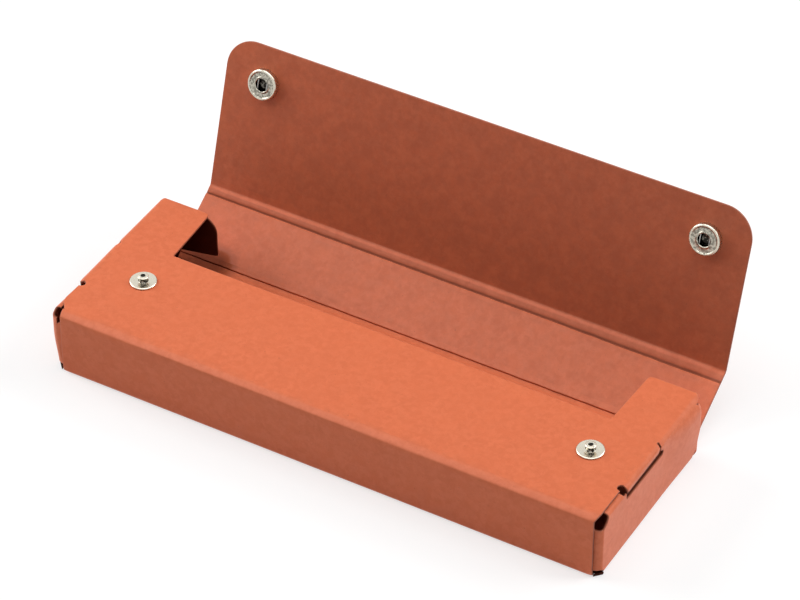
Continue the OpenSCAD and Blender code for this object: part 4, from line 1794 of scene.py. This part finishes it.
def make_world(glow):
    """White surroundings that give only a little light."""
    world = bpy.data.worlds.new("soft_studio")
    world.use_nodes = True
    background = next(n for n in world.node_tree.nodes if n.type == "BACKGROUND")
    background.inputs["Color"].default_value = (1, 1, 1, 1)
    strength = link(
        world.node_tree, "ShaderNodeMapRange",
        {0: seen_rays(world.node_tree), 1: 0.0, 2: 1.0, 3: glow, 4: 1.0},
    ).outputs[0]
    world.node_tree.links.new(strength, background.inputs["Strength"])
    bpy.context.scene.world = world


def make_camera(stage):
    """The camera, from where the photo was taken."""
    azimuth, elevation, roll = stage.azimuth, stage.elevation, stage.roll
    back = Vector((math.sin(azimuth) * math.cos(elevation), -math.cos(azimuth) * math.cos(elevation),
                   math.sin(elevation)))
    level = Vector((math.cos(azimuth), math.sin(azimuth), 0))
    above = back.cross(level)
    right = level * math.cos(roll) + above * math.sin(roll)
    above = back.cross(right)
    data = bpy.data.cameras.new("camera")
    data.lens = stage.lens
    data.sensor_width = 36
    data.clip_start = 0.05
    data.clip_end = 20
    camera = bpy.data.objects.new("camera", data)
    turn = Matrix((right, above, back)).transposed().to_4x4()
    camera.matrix_world = Matrix.Translation(stage.place) @ turn
    bpy.context.scene.collection.objects.link(camera)
    bpy.context.scene.camera = camera


def make_stage():
    """The floor, the surroundings, three soft boxes and the camera."""
    stage = settings().stage
    make_floor(stage.floor_colour)
    make_world(stage.world_strength)
    case_middle = (0, 0, 0.02)
    area_lamp("overhead_soft_box", (0, 0, 1.1), (0, 0, 0), (1.0, 0.8), stage.overhead_power)
    area_lamp("left_soft_box", (-0.95, -0.14, 0.59), case_middle, (0.7, 0.6), stage.left_power)
    area_lamp("right_soft_box", (0.75, 0.6, 0.75), case_middle, (0.7, 0.6), stage.right_power)
    make_camera(stage)
    bpy.context.scene.view_settings.view_transform = "Standard"


# Operators

class PENCASE_OT_box(bpy.types.Operator):
    """Fold the bottom, the front wall, the top with its lock tabs, and the two ends"""

    bl_idname = "pencase.box"
    bl_label = "Fold the box"

    def execute(self, context):
        material = sheet_material()
        make_bottom(material)
        make_front_wall(material)
        make_top(material)
        for side in SIDES:
            make_lock_tab(side, material)
            make_end_wall(side, material)
            make_top_tuck(side, material)
            make_front_tuck(side, material)
        return {"FINISHED"}


class PENCASE_OT_dust_flaps(bpy.types.Operator):
    """Add the two dust flaps and the upright folds that they turn at"""

    bl_idname = "pencase.dust_flaps"
    bl_label = "Add the dust flaps"

    def execute(self, context):
        for side in SIDES:
            make_dust_flap(side, sheet_material())
            make_dust_fold(side, sheet_material())
        return {"FINISHED"}


class PENCASE_OT_back_and_flap(bpy.types.Operator):
    """Add the back panel and the closing flap"""

    bl_idname = "pencase.back_and_flap"
    bl_label = "Add the back and the flap"

    def execute(self, context):
        make_back_panel(sheet_material())
        make_flap(sheet_material())
        return {"FINISHED"}


class PENCASE_OT_creases(bpy.types.Operator):
    """Press the two creases with their raised beads"""

    bl_idname = "pencase.creases"
    bl_label = "Press the creases"

    def execute(self, context):
        material = sheet_material()
        make_crease("back_crease_strip", (case.crease_y, case.crease_z), 0.0, case.lean,
                    BACK_BEFORE, BACK_AFTER, (0.0, lambda x: BACK_SHADE), "back_crease_bead", material)
        make_crease("flap_crease_strip", (case.flap_y, case.flap_z), case.lean,
                    case.flap_turn, RIDGE_BEFORE, RIDGE_AFTER, (BACK_SHADE, flap_shade),
                    "flap_crease_bead", material)
        return {"FINISHED"}


class PENCASE_OT_snaps(bpy.types.Operator):
    """Turn and press the two snap fasteners"""

    bl_idname = "pencase.snaps"
    bl_label = "Add the snaps"

    def execute(self, context):
        for side in SIDES:
            make_stud(side, nickel_material())
            make_stud_post(side, nickel_material())
            make_socket(side, nickel_material())
            make_spring(side, steel_material())
            make_cap(side, nickel_material())
        return {"FINISHED"}


class PENCASE_OT_stage(bpy.types.Operator):
    """Set the floor, the lamps and the camera"""

    bl_idname = "pencase.stage"
    bl_label = "Set the stage"

    def execute(self, context):
        make_stage()
        return {"FINISHED"}


STEPS = (PENCASE_OT_box, PENCASE_OT_dust_flaps, PENCASE_OT_back_and_flap, PENCASE_OT_creases,
         PENCASE_OT_snaps, PENCASE_OT_stage)


class PENCASE_PT_panel(bpy.types.Panel):
    """Lists the steps and the settings of the pen case"""

    bl_idname = "PENCASE_PT_panel"
    bl_label = "Pen case"
    bl_space_type = "VIEW_3D"
    bl_region_type = "UI"
    bl_category = "Pen case"

    def draw(self, context):
        for step in STEPS:
            self.layout.operator(step.bl_idname)
        for group in settings():
            box = self.layout.box()
            for name in group.bl_rna.properties.keys():
                if name not in ("rna_type", "name"):
                    box.prop(group, name)


GROUPS = {"pencase_sheet": PENCASE_PG_sheet, "pencase_snaps": PENCASE_PG_snaps,
          "pencase_stage": PENCASE_PG_stage}
CLASSES = (*GROUPS.values(), *STEPS, PENCASE_PT_panel)


def register():
    """Makes the classes and the settings known to Blender."""
    for cls in CLASSES:
        bpy.utils.register_class(cls)
    for name, group in GROUPS.items():
        setattr(bpy.types.Scene, name, PointerProperty(type=group))


def unregister():
    """Takes the settings and the classes out again."""
    for name in GROUPS:
        delattr(bpy.types.Scene, name)
    for cls in reversed(CLASSES):
        bpy.utils.unregister_class(cls)


def main():
    """Registers the add-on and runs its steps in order."""
    register()
    for step in STEPS:
        group, name = step.bl_idname.split(".")
        result = getattr(getattr(bpy.ops, group), name)()
        if result != {"FINISHED"}:
            raise RuntimeError(f"{step.bl_idname} didn't finish")


if __name__ == "__main__":
    main()
